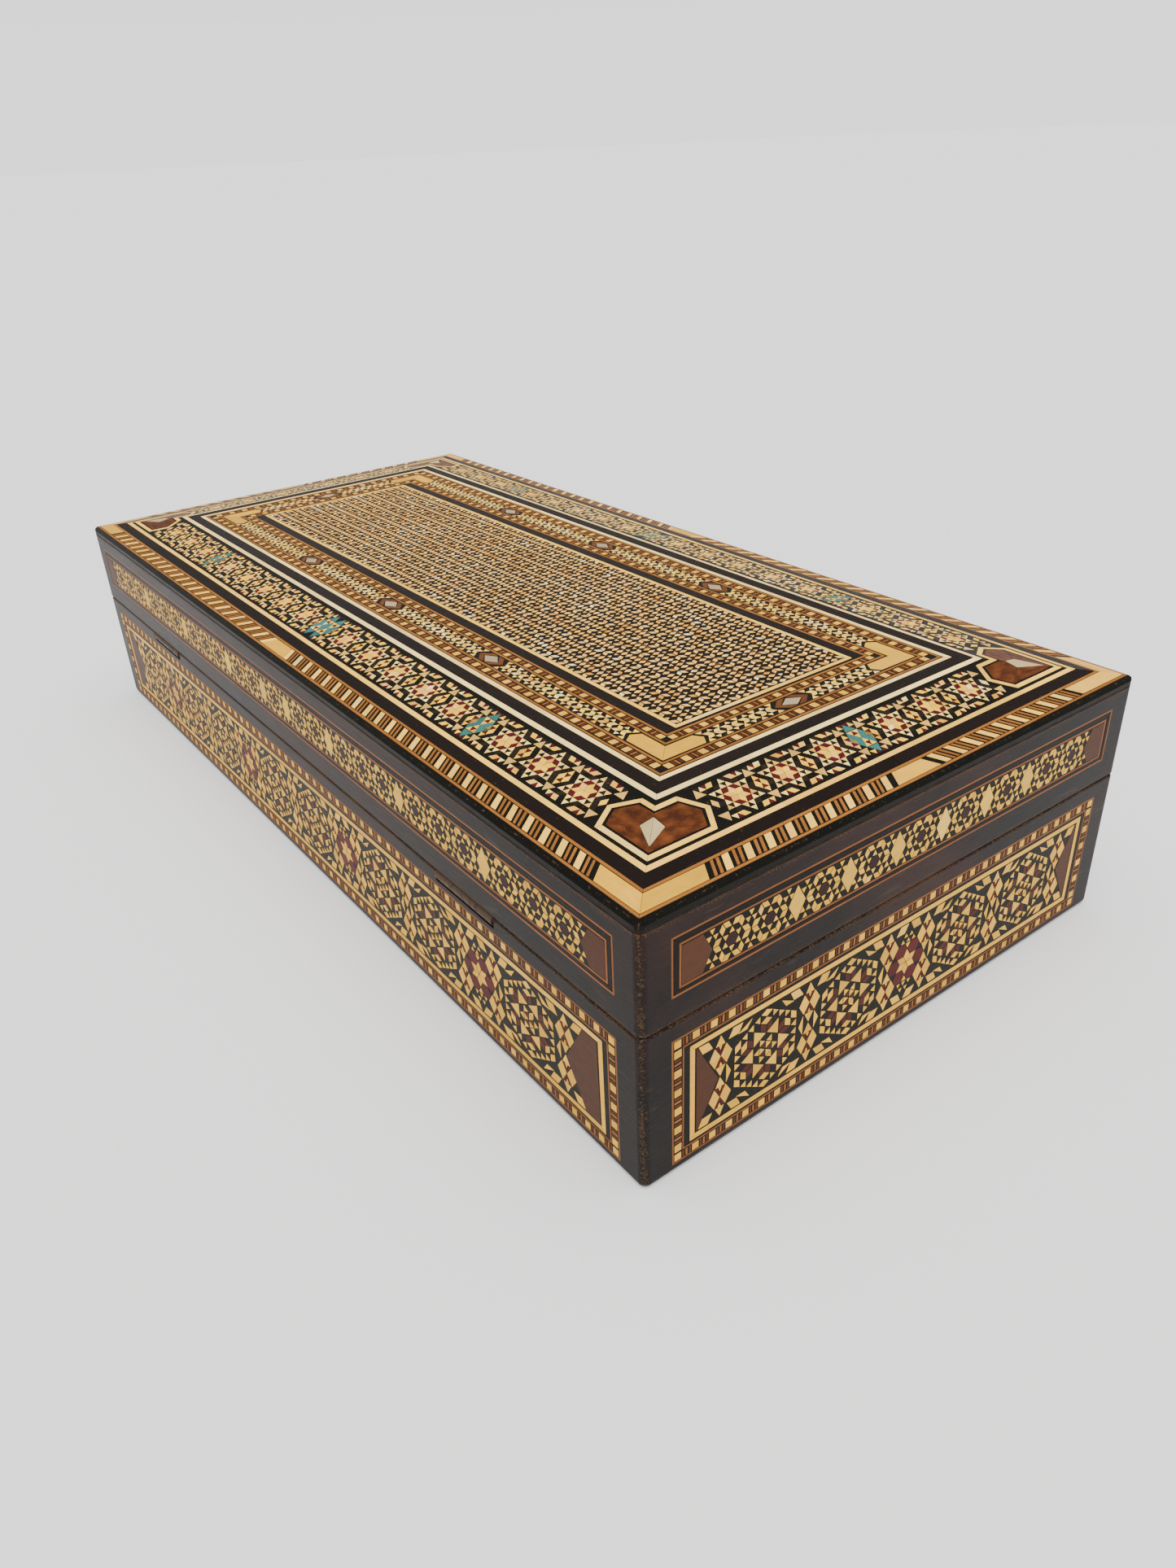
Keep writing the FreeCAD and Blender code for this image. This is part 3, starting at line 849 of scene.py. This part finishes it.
def blocks_in_line(length, low, high, last, pitch=4.4):
    """Bone squares with three dark slices between them, from a square to a square (block last)."""
    count = round((length - 2 * SQUARE) / pitch)
    step = (length - 2 * SQUARE) / count
    mid, tall = (low + high) / 2, high - low
    return [
        (0 if i < count else last, -length / 2 + SQUARE + step * i, mid, step / pitch, tall)
        for i in range(count + 1)
    ]


block_group = [("maple", [(-SQUARE, -0.5), (SQUARE, -0.5), (SQUARE, 0.5), (-SQUARE, 0.5)])]
for timber, low in (("slice", 1.12), ("orange", 1.94), ("slice", 2.76)):
    block_group.append((timber, [(low, -0.5), (low + 0.52, -0.5), (low + 0.52, 0.5), (low, 0.5)]))

panel_low, panel_high = (corner.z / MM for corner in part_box("base_left_marquetry"))
mosaic_low, mosaic_high = 7.5, 28.2
mosaic_mid = (mosaic_low + mosaic_high) / 2
GAP_IN = {"P": 0, "U": 16, "R": 8}
LAYOUTS = {"short": "PUPUPRPUPUP", "long": "PUPRPUPUPRPUPUPRPUPUPRPUP"}

for side in SIDES:
    long_side = side in ("front", "back")
    order = LAYOUTS["long" if long_side else "short"]
    panel_half = (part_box(f"base_{side}_marquetry")[1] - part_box(f"base_{side}_marquetry")[0])
    panel_half = (panel_half.x if long_side else panel_half.y) / MM / 2
    step = 1.58 if long_side else 1.4875
    centres = [x * step for x in lined_up(order, GAP_IN)]
    stops = []
    for i, letter in enumerate(order):
        if letter == "P":
            before = order[i - 1] if i else "end"
            after = order[i + 1] if i + 1 < len(order) else "end"
            kind = {("end", "U"): 2, ("U", "end"): 3, ("U", "R"): 4, ("R", "U"): 5}.get((before, after), 1)
            stops.append((kind, centres[i], mosaic_mid, step / 1.5, 1))
        elif letter == "U":
            stops.append((6, centres[i], mosaic_mid, step * 1.29, 2.04))
        else:
            stops.append((7, centres[i], mosaic_mid, step * 1.33, 2.0))
    band_low, band_high = 2.85, 4.65
    top_low, top_high = 31.15, 32.95
    run = 2 * (panel_half - 0.6)
    for low, high in ((band_low, band_high), (top_low, top_high)):
        stops += blocks_in_line(run, low, high, 9)
    upright = []
    tall = top_low - band_high - 1.2
    for kind, y, _, length, width in blocks_in_line(tall, -0.9, 0.9, 10):
        for end in (-1, 1):
            place_up = (band_high + top_low) / 2 + y
            upright.append((8 if kind == 0 else 10, end * (panel_half - 1.5), place_up, width, length))
    blocks = [
        (block_group, JOINT),
        (post("flank", "flank"), 0.07),
        (post("plain", "flank"), 0.07),
        (post("flank", "plain"), 0.07),
        (post("flank", "plain"), 0.07),
        (post("plain", "flank"), 0.07),
        (star_hexagon, 0.06),
        (flower, 0.04),
        (turned(block_group, 90), JOINT),
        (block_group[:1], JOINT),
        (turned(block_group[:1], 90), JOINT),
    ]
    mosaic = course(f"base_{side}_mosaic", blocks, stops + upright, seed=11 + SIDES[side])
    lines = frame_of("cherry", panel_half, panel_low, panel_high, 0.45)
    lines += frame_of("cherry", panel_half - 2.6, 4.9, 30.9, 0.4)
    lines += frame_of("maple", panel_half - 4.4, 5.85, 29.75, 1.2)
    axis = centres[0]
    for end in (-1, 1):
        inner = end * axis
        plate = [
            (-panel_half + 5.95, mosaic_low - 0.2),
            (axis - 5.9, mosaic_low - 0.2),
            (axis - 0.5, mosaic_mid),
            (axis - 5.9, mosaic_high + 0.1),
            (-panel_half + 5.95, mosaic_high + 0.1),
        ]
        lines.append(("end_plate", [(-end * x, y) for x, y in plate]))
    framing = loose(f"base_{side}_lines", lines, seed=SIDES[side])
    sheet_of(
        f"base_{side}_inlay",
        f"base_{side}_marquetry",
        "base",
        side_face(side),
        [mosaic, framing],
        3 if long_side else 2,
    )

# Lid rails: four mitred rails like the base boards, under the top board.
for side in SIDES:
    refinish(f"lid_{side}_rail", board_along if side in ("front", "back") else board_across)

# Lid strips: two orange lines round a narrow mosaic of red hexagons in bone hexagrams, with
# boxwood lozenges between some of them and a pointed brown plate at each end.
rosette = spun(
    [
        at("maple", (0.5, 1), (0, 2), (-0.5, 1)),
        at("maple", (1.5, 1), (2, 0), (3, 0), (2.5, 1)),
        at("maple", (1.5, -1), (2.5, -1), (3, 0), (2, 0)),
    ]
)
rosette.append(at("plum", (1, 0), (0.5, 1), (-0.5, 1), (-1, 0), (-0.5, -1), (0.5, -1)))
rosette_joint = mirrored([at("maple", (0, 2), (0.5, 1), (1, 2))])
rosette_joint += mirrored([at("maple", (-0.5, 3), (0, 2), (0.5, 3))], along=False)
lozenge = [at("boxwood", (1.5, 0), (0, 3), (-1.5, 0), (0, -3))]
STRIP_ROW = 1.43
strip_mid = 49.5
WIDTH_IN = {"o": 6, "|": 3}
STRIPS = {"short": "oo|o|o|o|o|o|oo", "long": "ooo|ooo|ooo|oo|o|oo|ooo|ooo|ooo"}

for side in SIDES:
    long_side = side in ("front", "back")
    order = STRIPS["long" if long_side else "short"]
    low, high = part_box(f"lid_{side}_marquetry")
    strip_half = ((high - low).x if long_side else (high - low).y) / MM / 2
    strip_low, strip_high = low.z / MM, high.z / MM
    total = sum(WIDTH_IN[letter] for letter in order)
    step = 2 * (strip_half - 9.4) / total
    high_step = STRIP_ROW / ROW
    stops = []
    edges = {-total / 2}
    for letter, x in zip(order, lined_up(order, WIDTH_IN)):
        stops.append((0 if letter == "o" else 1, x * step, strip_mid, step, high_step))
        edges.add(x + WIDTH_IN[letter] / 2)
    stops += [(2, x * step, strip_mid, step, high_step) for x in sorted(edges)]
    small_gap = 0.06
    blocks = [(rosette, small_gap), (lozenge, small_gap), (rosette_joint, small_gap)]
    mosaic = course(f"lid_{side}_mosaic", blocks, stops, seed=31 + SIDES[side])
    lines = frame_of("cherry", strip_half, strip_low, strip_high, 0.5)
    lines += frame_of("rosewood", strip_half - 0.6, strip_low + 0.6, strip_high - 0.6, 0.7)
    lines += frame_of("cherry", strip_half - 1.8, strip_low + 1.4, strip_high - 1.9, 0.5)
    tip = -total / 2 * step
    tall = 3 * STRIP_ROW
    for end in (-1, 1):
        plate = [
            (-strip_half + 2.35, strip_mid - tall),
            (tip - 1.4 * step, strip_mid - tall),
            (tip, strip_mid),
            (tip - 1.4 * step, strip_mid + tall),
            (-strip_half + 2.35, strip_mid + tall),
        ]
        lines.append(("end_plate", [(-end * x, y) for x, y in plate]))
    framing = loose(f"lid_{side}_lines", lines, seed=50 + SIDES[side])
    sheet_of(
        f"lid_{side}_inlay",
        f"lid_{side}_marquetry",
        "lid",
        side_face(side),
        [mosaic, framing],
        4 if long_side else 3,
    )

# Top board: raw brown wood; only its worn edge shows, between the rails and the veneer.
top_wood, start = finish("raw_edge", Specular_IOR_Level=0.06)
place, parts = place_in_mm(start)
rough_grain = place.noise(1.3, (0.25, 0.25, 3), detail=5)
grime = place.noise(0.12, detail=5)
raw_colour = rough_grain.within(0.35, 0.8).mixed(tint(18, 14, 12), tint(52, 38, 26))
raw_colour = raw_colour.scaled(0.6 + 0.8 * grime)
feed(top_wood, rough_grain, 0.0002, Base_Color=raw_colour, Roughness=0.6 + 0.2 * grime)
refinish("lid_top_board", top_wood)

# Outer borders: veneer and mosaic on the four slopes of the top, mitred at the corners. From
# the edge in: barber stripes, rosewood, bone line, star band with burl corners, bone line.
crown_run = 25.3
slope = crown_rise / crown_run
STAR_LOW, STAR_HIGH = 11.4, 22.7
star = spun(
    [
        at("bone", (0, 0), (1, 0), (1.5, 1), (0.5, 1)),
        at("redwood", (1, 0), (1.5, -1), (2, 0), (1.5, 1)),
        at("ivory", (1.5, 1), (2, 0), (2.5, 1)),
        at("ivory", (1.5, -1), (2.5, -1), (2, 0)),
    ]
)
star += mirrored(
    [
        at("ivory", (2, 2), (2.5, 1), (3, 2)),
        at("bone", (1, 4), (1.5, 3), (2.5, 3), (2, 4)),
        at("redwood", (2, 4), (2.5, 3), (3, 4)),
        at("ivory", (2.5, 3), (3.5, 3), (3, 4)),
    ]
)
star += mirrored([at("ivory", (-0.5, 3), (0.5, 3), (0, 4))], along=False)
star_joint = mirrored(
    [
        at("bone", (-0.5, 1), (0.5, 1), (0, 2)),
        at("redwood", (-0.5, 1), (0, 0), (0.5, 1)),
        at("horn", (-0.85, 2.1), (0.85, 2.1), (0, 3.8)),
    ],
    along=False,
)
star_joint += mirrored([at("bone", (0, 0), (0.5, -1), (1, 0), (0.5, 1))], up=False)


def covers(points, spot):
    corners = [Vector(point) for point in points]
    turns = [(b - a).cross(spot - a) for a, b in zip(corners, corners[1:] + corners[:1])]
    return min(turns) > 0 or max(turns) < 0


LOZENGES = {
    (0.5, 0): ((0, 0), (1, 0), (1.5, 1), (0.5, 1)),
    (-0.5, 0): ((0, 0), (1, 0), (0.5, 1), (-0.5, 1)),
    (0, -1): ((0, 0), (0.5, -1), (1, 0), (0.5, 1)),
}


def dark_filling(reach, pieces):
    """Dark lozenges and triangles for what the pieces leave free between -reach and reach."""
    pieces = pieces + shifted(star_joint, reach) + shifted(star_joint, -reach)
    free = set()
    for row in range(-4, 4):
        for number in range(-5, 5):
            for up in (0, 1):
                x = number + (row + 1 - up) % 2 / 2
                middle = Vector((x + 0.5, (row + (2 - up) / 3) * ROW))
                if -reach <= middle.x < reach and not any(covers(points, middle) for _, points in pieces):
                    free.add((x, row, up))
    filling = []
    for x, row, up in sorted(free):
        if not up:
            continue
        free.remove((x, row, 1))
        shape = ((0, 0), (1, 0), (0.5, 1))
        start = int(2 * x + row) % 3
        for across, down in (list(LOZENGES) * 2)[start:start + 3]:
            if (x + across, row + down, 0) in free:
                free.remove((x + across, row + down, 0))
                shape = LOZENGES[across, down]
                break
        timber = ("ebony", "smoked", "ebony")[(int(2 * x) + row) % 3]
        filling.append(at(timber, *[(x + a, row + b) for a, b in shape]))
    for x, row, _ in sorted(free):
        filling.append(at("smoked", (x, row + 1), (x + 0.5, row), (x + 1, row + 1)))
    return filling


def teal_block(glasses):
    """Large teal lozenges round one or two small hourglasses, with teal points above and below."""
    pieces = []
    for number in range(glasses + 1):
        x = 2 * number - glasses
        pieces.append(at("teal", (x - 1, 0), (x, -2), (x + 1, 0), (x, 2)))
    upper = []
    for number in range(glasses):
        x = 2 * number - glasses + 1
        upper += [
            at("bone", (x - 0.5, 1), (x, 0), (x + 0.5, 1)),
            at("redwood", (x - 0.5, 1), (x + 0.5, 1), (x, 2)),
            at("bone", (x - 1, 2), (x - 0.5, 1), (x, 2)),
            at("bone", (x, 2), (x + 0.5, 1), (x + 1, 2)),
            at("teal", (x - 0.95, 2.1), (x + 0.95, 2.1), (x, 3.9)),
        ]
    last = glasses - 1
    outer = [
        at("redwood", (last + 0.1, 4), (last + 0.5, 3.2), (last + 0.9, 4)),
        at("bone", (last + 0.5, 3), (last + 1.5, 3), (last + 1, 4)),
    ]
    return pieces + mirrored(upper, along=False) + mirrored(outer)


def top_face(side, rise):
    """From a drawing of a top border to its place: X along, Y inwards from the edge."""
    depth = half_wide if side in ("front", "back") else half_long
    height = crown_top - crown_rise if rise else crown_top
    tilted = Matrix(((1, 0, 0, 0), (0, 1, 0, -depth), (0, rise, 1, height), (0, 0, 0, 1)))
    return Matrix.Scale(MM, 4) @ Matrix.Rotation(math.radians(SIDES[side]), 4, "Z") @ tilted


def in_both_corners(pieces, half):
    """Pieces drawn from the left corner of a border, at its left end and mirrored to its right."""
    placed = [(timber, [(x - half, y) for x, y in points]) for timber, points in pieces]
    return mirrored(placed, up=False)


PLATE_NEAR, PLATE_FAR = 1.95, 5.55  # edges of the plain bone plates, in from the lid's rim
PLATE_GAP = 0.5
LIGHT_STRIPE = 1.8
STRIPE_GROUP = 5.25  # one light stripe, two brown ones and their gaps
STRIPE_FOOT, STRIPE_RISE = 1.9, 3.7

for side in SIDES:
    long_side = side in ("front", "back")
    half = half_long if long_side else half_wide
    lines = strip("orange", 1.2, 1.85, half)
    lines += strip("orange", 5.65, 6.3, half)
    lines += strip("rosewood", 6.35, 9.3, half, every=90)
    lines += strip("bone_line", 9.3, 10.55, half)
    lines += strip("white_line", 23.95, 25.25, half)

    # stripes lean away from the corners, on both sides of a plain plate in the middle
    plate_low, plate_high = (14.5, 17.1) if long_side else (17.3, 19.3)
    lean = plate_high - plate_low
    middle = 4.2 if long_side else 6.0
    room = half - plate_low - PLATE_GAP - middle - lean
    count = round(room / STRIPE_GROUP)
    pitch = room / count
    spread = pitch / STRIPE_GROUP
    stops = []
    for number in range(count):
        x = -half + plate_low + PLATE_GAP + pitch * (number + 1)
        x -= LIGHT_STRIPE * pitch / STRIPE_GROUP
        stops.append((0, x, STRIPE_FOOT, spread, STRIPE_RISE))
        stops.append((1, -x, STRIPE_FOOT, spread, STRIPE_RISE))
    leaning = lean / spread
    left_group = [
        (timber, [(x + leaning * y, y) for x, y in points])
        for timber, points in [
            ("bone_line", [(0, 0), (LIGHT_STRIPE, 0), (LIGHT_STRIPE, 1), (0, 1)]),
            ("orange", [(-1.35, 0), (-0.5, 0), (-0.5, 1), (-1.35, 1)]),
            ("orange", [(-2.7, 0), (-1.85, 0), (-1.85, 1), (-2.7, 1)]),
        ]
    ]
    right_group = [(timber, [(-x, y) for x, y in points]) for timber, points in left_group]
    if not long_side:
        middle -= 1.6
    start = -middle - lean
    plate = [(PLATE_NEAR, PLATE_NEAR), (plate_low, PLATE_NEAR)]
    plate += [(plate_high, PLATE_FAR), (PLATE_FAR, PLATE_FAR)]
    lines += in_both_corners([("bone_plate", plate)], half)
    centre = [(start, PLATE_NEAR), (-start, PLATE_NEAR), (middle, PLATE_FAR), (-middle, PLATE_FAR)]
    lines.append(("bone_plate", centre))

    # star band: stars, with teal groups between some of them
    order = "jsjsjsjtjsjsjsjsjsjdjsjsjsjsjsjtjsjsjsj" if long_side else "jsjsjsjtjsjsjsj"
    widths = {"j": 0, "s": 8, "t": 4, "d": 6}
    total = sum(widths[letter] for letter in order)
    apex = 29.8 if long_side else 31.3
    a = 2 * (half - apex - 0.4) / total
    high_step = (STAR_HIGH - STAR_LOW) / 8 / ROW
    star_mid = (STAR_HIGH + STAR_LOW) / 2
    kinds = {"j": 2, "s": 3, "t": 4, "d": 5}
    centres = lined_up(order, widths)
    for i, (letter, x) in enumerate(zip(order, centres)):
        kind = kinds[letter]
        if letter == "j" and i == 0:
            kind = 6
        if letter == "j" and i == len(order) - 1:
            kind = 7
        stops.append((kind, x * a, star_mid, a, high_step))
    right_end = [at("bone", (0, 0), (-0.5, 1), (-1, 0), (-0.5, -1))]
    left_end = [at("bone", (0, 0), (0.5, -1), (1, 0), (0.5, 1))]
    end_tips = [
        at("horn", (-0.85, 2.1), (0.85, 2.1), (0, 3.8)),
        at("horn", (-0.85, -2.1), (0.85, -2.1), (0, -3.8)),
    ]
    left_end += end_tips
    right_end += end_tips
    fine = JOINT / 1.6
    blocks = [
        (left_group, JOINT),
        (right_group, JOINT),
        (star_joint, fine),
        (star + dark_filling(4, star), fine),
        (teal_block(1) + dark_filling(2, teal_block(1)), fine),
        (teal_block(2) + dark_filling(3, teal_block(2)), fine),
        (left_end, fine),
        (right_end, fine),
    ]
    border = course(f"top_{side}_stars", blocks, stops, seed=71 + SIDES[side])

    # corner plate: half a heart of burl in a bone line, with half a pearl kite on the mitre
    low, mid, high = STAR_LOW, star_mid, STAR_HIGH
    shoulder = apex - 3.4
    outer = [(low, low), (shoulder, low), (apex, mid), (shoulder, high), (high, high)]
    bone = 1.15
    hair = 0.5
    inner = [
        (low + bone, low + bone),
        (shoulder - bone * 0.55, low + bone),
        (apex - bone * 1.2, mid),
        (shoulder - bone * 0.55, high - bone),
        (high - bone, high - bone),
    ]
    corner = []
    for i in range(4):
        corner.append(("bone_line", [outer[i], outer[i + 1], inner[i + 1], inner[i]]))
    core_low, core_high = low + bone + hair, high - bone - hair
    core = [
        (core_low, core_low),
        (shoulder - 1.0, core_low),
        (apex - 2.1, mid),
        (shoulder - 1.0, core_high),
        (core_high, core_high),
    ]
    corner.append(("burl", [core[0], core[1], (20.4, 17.0), (14.2, 14.2)]))
    corner.append(("burl", [core[1], core[2], core[3], (20.4, 20.4), (20.4, 17.0)]))
    corner.append(("burl", [core[3], core[4], (20.4, 20.4)]))
    corner.append(("kite", [(14.2, 14.2), (20.3, 17.0), (20.3, 20.3)]))
    lines += in_both_corners(corner, half)
    framing = loose(f"top_{side}_lines", lines, seed=90 + SIDES[side])
    sheet_of(
        f"top_{side}_outer_inlay",
        f"top_outer_border_{side}",
        "lid",
        top_face(side, slope),
        [border, framing],
        3 if long_side else 2,
        mitred=True,
    )

# Inner borders: flat bands round the field. From the crease in: rosewood, bone line, blocks,
# small stars with bone corners and pearl lozenges, blocks, rosewood, bone line.
small_star = mirrored([at("cream", (0, 0), (1, 0), (1.5, 1), (0.5, 1))])
small_star += mirrored([at("ivory", (-0.5, 1), (0.5, 1), (0, 2))], along=False)
small_joint = mirrored([at("cream", (-0.58, 2), (0, 0.9), (0.58, 2))], along=False)
SMALL_LOW, SMALL_HIGH = 34.3, 38.95
SMALL_PITCH = 4.85
BLOCK_BANDS = ((31.1, 33.25), (40.0, 41.85))
BLOCK_GAP = 0.12
CORNER_REACH = 47.7  # how far a bone corner plate and its gap run in from the lid's rim
LOZENGE_REACH = 5.2  # half the room of a pearl lozenge with its brown plates
field_low, field_high = (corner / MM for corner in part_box("top_centre_field"))

for side in SIDES:
    long_side = side in ("front", "back")
    half = half_long if long_side else half_wide
    field_edge = half_wide + field_low.y if long_side else half_long + field_low.x
    field_end = half_long + field_low.x if long_side else half_wide + field_low.y
    lines = strip("rosewood", 25.35, 28.65, half, every=90)
    lines += strip("white_line", 28.7, 29.95, half)
    lines += strip("orange", 30.25, 30.9, half)
    lines += strip("orange", 33.4, 34.05, half)
    lines += strip("orange", 39.2, 39.85, half)
    lines += strip("orange", 42.0, 42.65, half)
    bone = 1.1
    ends = (field_end - bone - 0.1, field_end)
    if long_side:
        lines += strip("rosewood", 42.75, field_edge - bone - 0.15, half, (42.75, ends[0]), every=80)
    lines += strip("bone_line", field_edge - bone, field_edge, half, (field_end - bone, field_end))

    stops = []
    for low, high in BLOCK_BANDS:
        length = 2 * (half - high)
        stops += blocks_in_line(length, low + BLOCK_GAP, high - BLOCK_GAP, 4)
    mid = (SMALL_LOW + SMALL_HIGH) / 2
    high_step = (SMALL_HIGH - SMALL_LOW) / 4 / ROW
    band_half = half - CORNER_REACH
    lozenges = (-50, 0, 50) if long_side else (0,)
    starts = [-band_half] + [x + LOZENGE_REACH for x in lozenges]
    finishes = [x - LOZENGE_REACH for x in lozenges] + [band_half]
    for begin, end in zip(starts, finishes):
        count = round((end - begin) / SMALL_PITCH)
        pitch = (end - begin) / count
        for number in range(count):
            stops.append((1, begin + pitch * (number + 0.5), mid, pitch / 3, high_step))
            stops.append((3, begin + pitch * number, mid, pitch / 3, high_step))
        stops.append((3, end, mid, pitch / 3, high_step))
    for x in lozenges:
        stops.append((2, x, mid, 1, 1))
    lozenge_set = [
        ("pearl", [(-2.9, 0), (0, -1.85), (2.9, 0), (0, 1.85)]),
        ("brown", [(-5, 0), (-2.3, -2.2), (-0.2, -2.2), (-3.1, 0)]),
        ("brown", [(-5, 0), (-3.1, 0), (-0.2, 2.2), (-2.3, 2.2)]),
        ("brown", [(5, 0), (3.1, 0), (0.2, -2.2), (2.3, -2.2)]),
        ("brown", [(5, 0), (2.3, 2.2), (0.2, 2.2), (3.1, 0)]),
    ]
    blocks = [
        (block_group, JOINT),
        (small_star, 0.05),
        (lozenge_set, JOINT),
        (small_joint, 0.03),
        (block_group[:1], JOINT),
    ]
    border = course(f"top_{side}_small_stars", blocks, stops, seed=111 + SIDES[side])
    plate = [(34.5, 34.5), (46.0, 34.5), (47.4, mid), (46.0, 38.75), (38.75, 38.75)]
    lines += in_both_corners([("bone_plate", plate)], half)
    framing = loose(f"top_{side}_inner_lines", lines, seed=130 + SIDES[side])
    sheet_of(
        f"top_{side}_inner_inlay",
        f"top_inner_border_{side}",
        "lid",
        top_face(side, 0),
        [border, framing],
        3 if long_side else 2,
        mitred=True,
    )

# Centre field: fine mosaic of upright bone lozenges in rows, with two rows of leaning ones and
# points between each pair of rows.
lozenge_row = [at("blush", (k - 2, 1), (k - 1.5, 0), (k - 1, 1), (k - 1.5, 2)) for k in range(4)]
leaning_row = [
    at("blush", (-0.5, 0), (0, -1), (0.5, 0)),
    at("blush", (-2, -1), (-1, -1), (-0.5, 0), (-1.5, 0)),
    at("blush", (1, -1), (2, -1), (1.5, 0), (0.5, 0)),
]
lower_row = [(timber, [(x, -2 * ROW - y) for x, y in points]) for timber, points in leaning_row]
brown_points = [at("brown", (k - 1.5, 0), (k - 0.5, 0), (k - 1, 1)) for k in range(3)]
field_long = field_high.x - field_low.x
field_wide = field_high.y - field_low.y
across, deep = 31, 9
wide_step = field_long / across / 4
high_step = field_wide / (4 * deep + 1) / ROW
rng = random.Random(7)
stops = []
for i in range(across):
    x = field_low.x + (i + 0.5) * 4 * wide_step
    for j in range(deep + 1):
        y = field_low.y + (4 * j + 1) * high_step * ROW
        if j < deep:
            stops.append((0 if rng.random() < 0.7 else 2, x, y, wide_step, high_step))
            stops.append((3, x, y + 4 * high_step * ROW, wide_step, high_step))
        stops.append((1, x, y, wide_step, high_step))
fine = 0.1
blocks = [
    (lozenge_row, fine),
    (leaning_row, fine),
    (lozenge_row + brown_points, fine),
    (lower_row, fine),
]
field = course("centre_mosaic", blocks, stops, seed=151)
flat_top = Matrix.Scale(MM, 4) @ Matrix.Translation((0, 0, crown_top))
sheet_of("centre_field_inlay", "top_centre_field", "lid", flat_top, [field], 2)
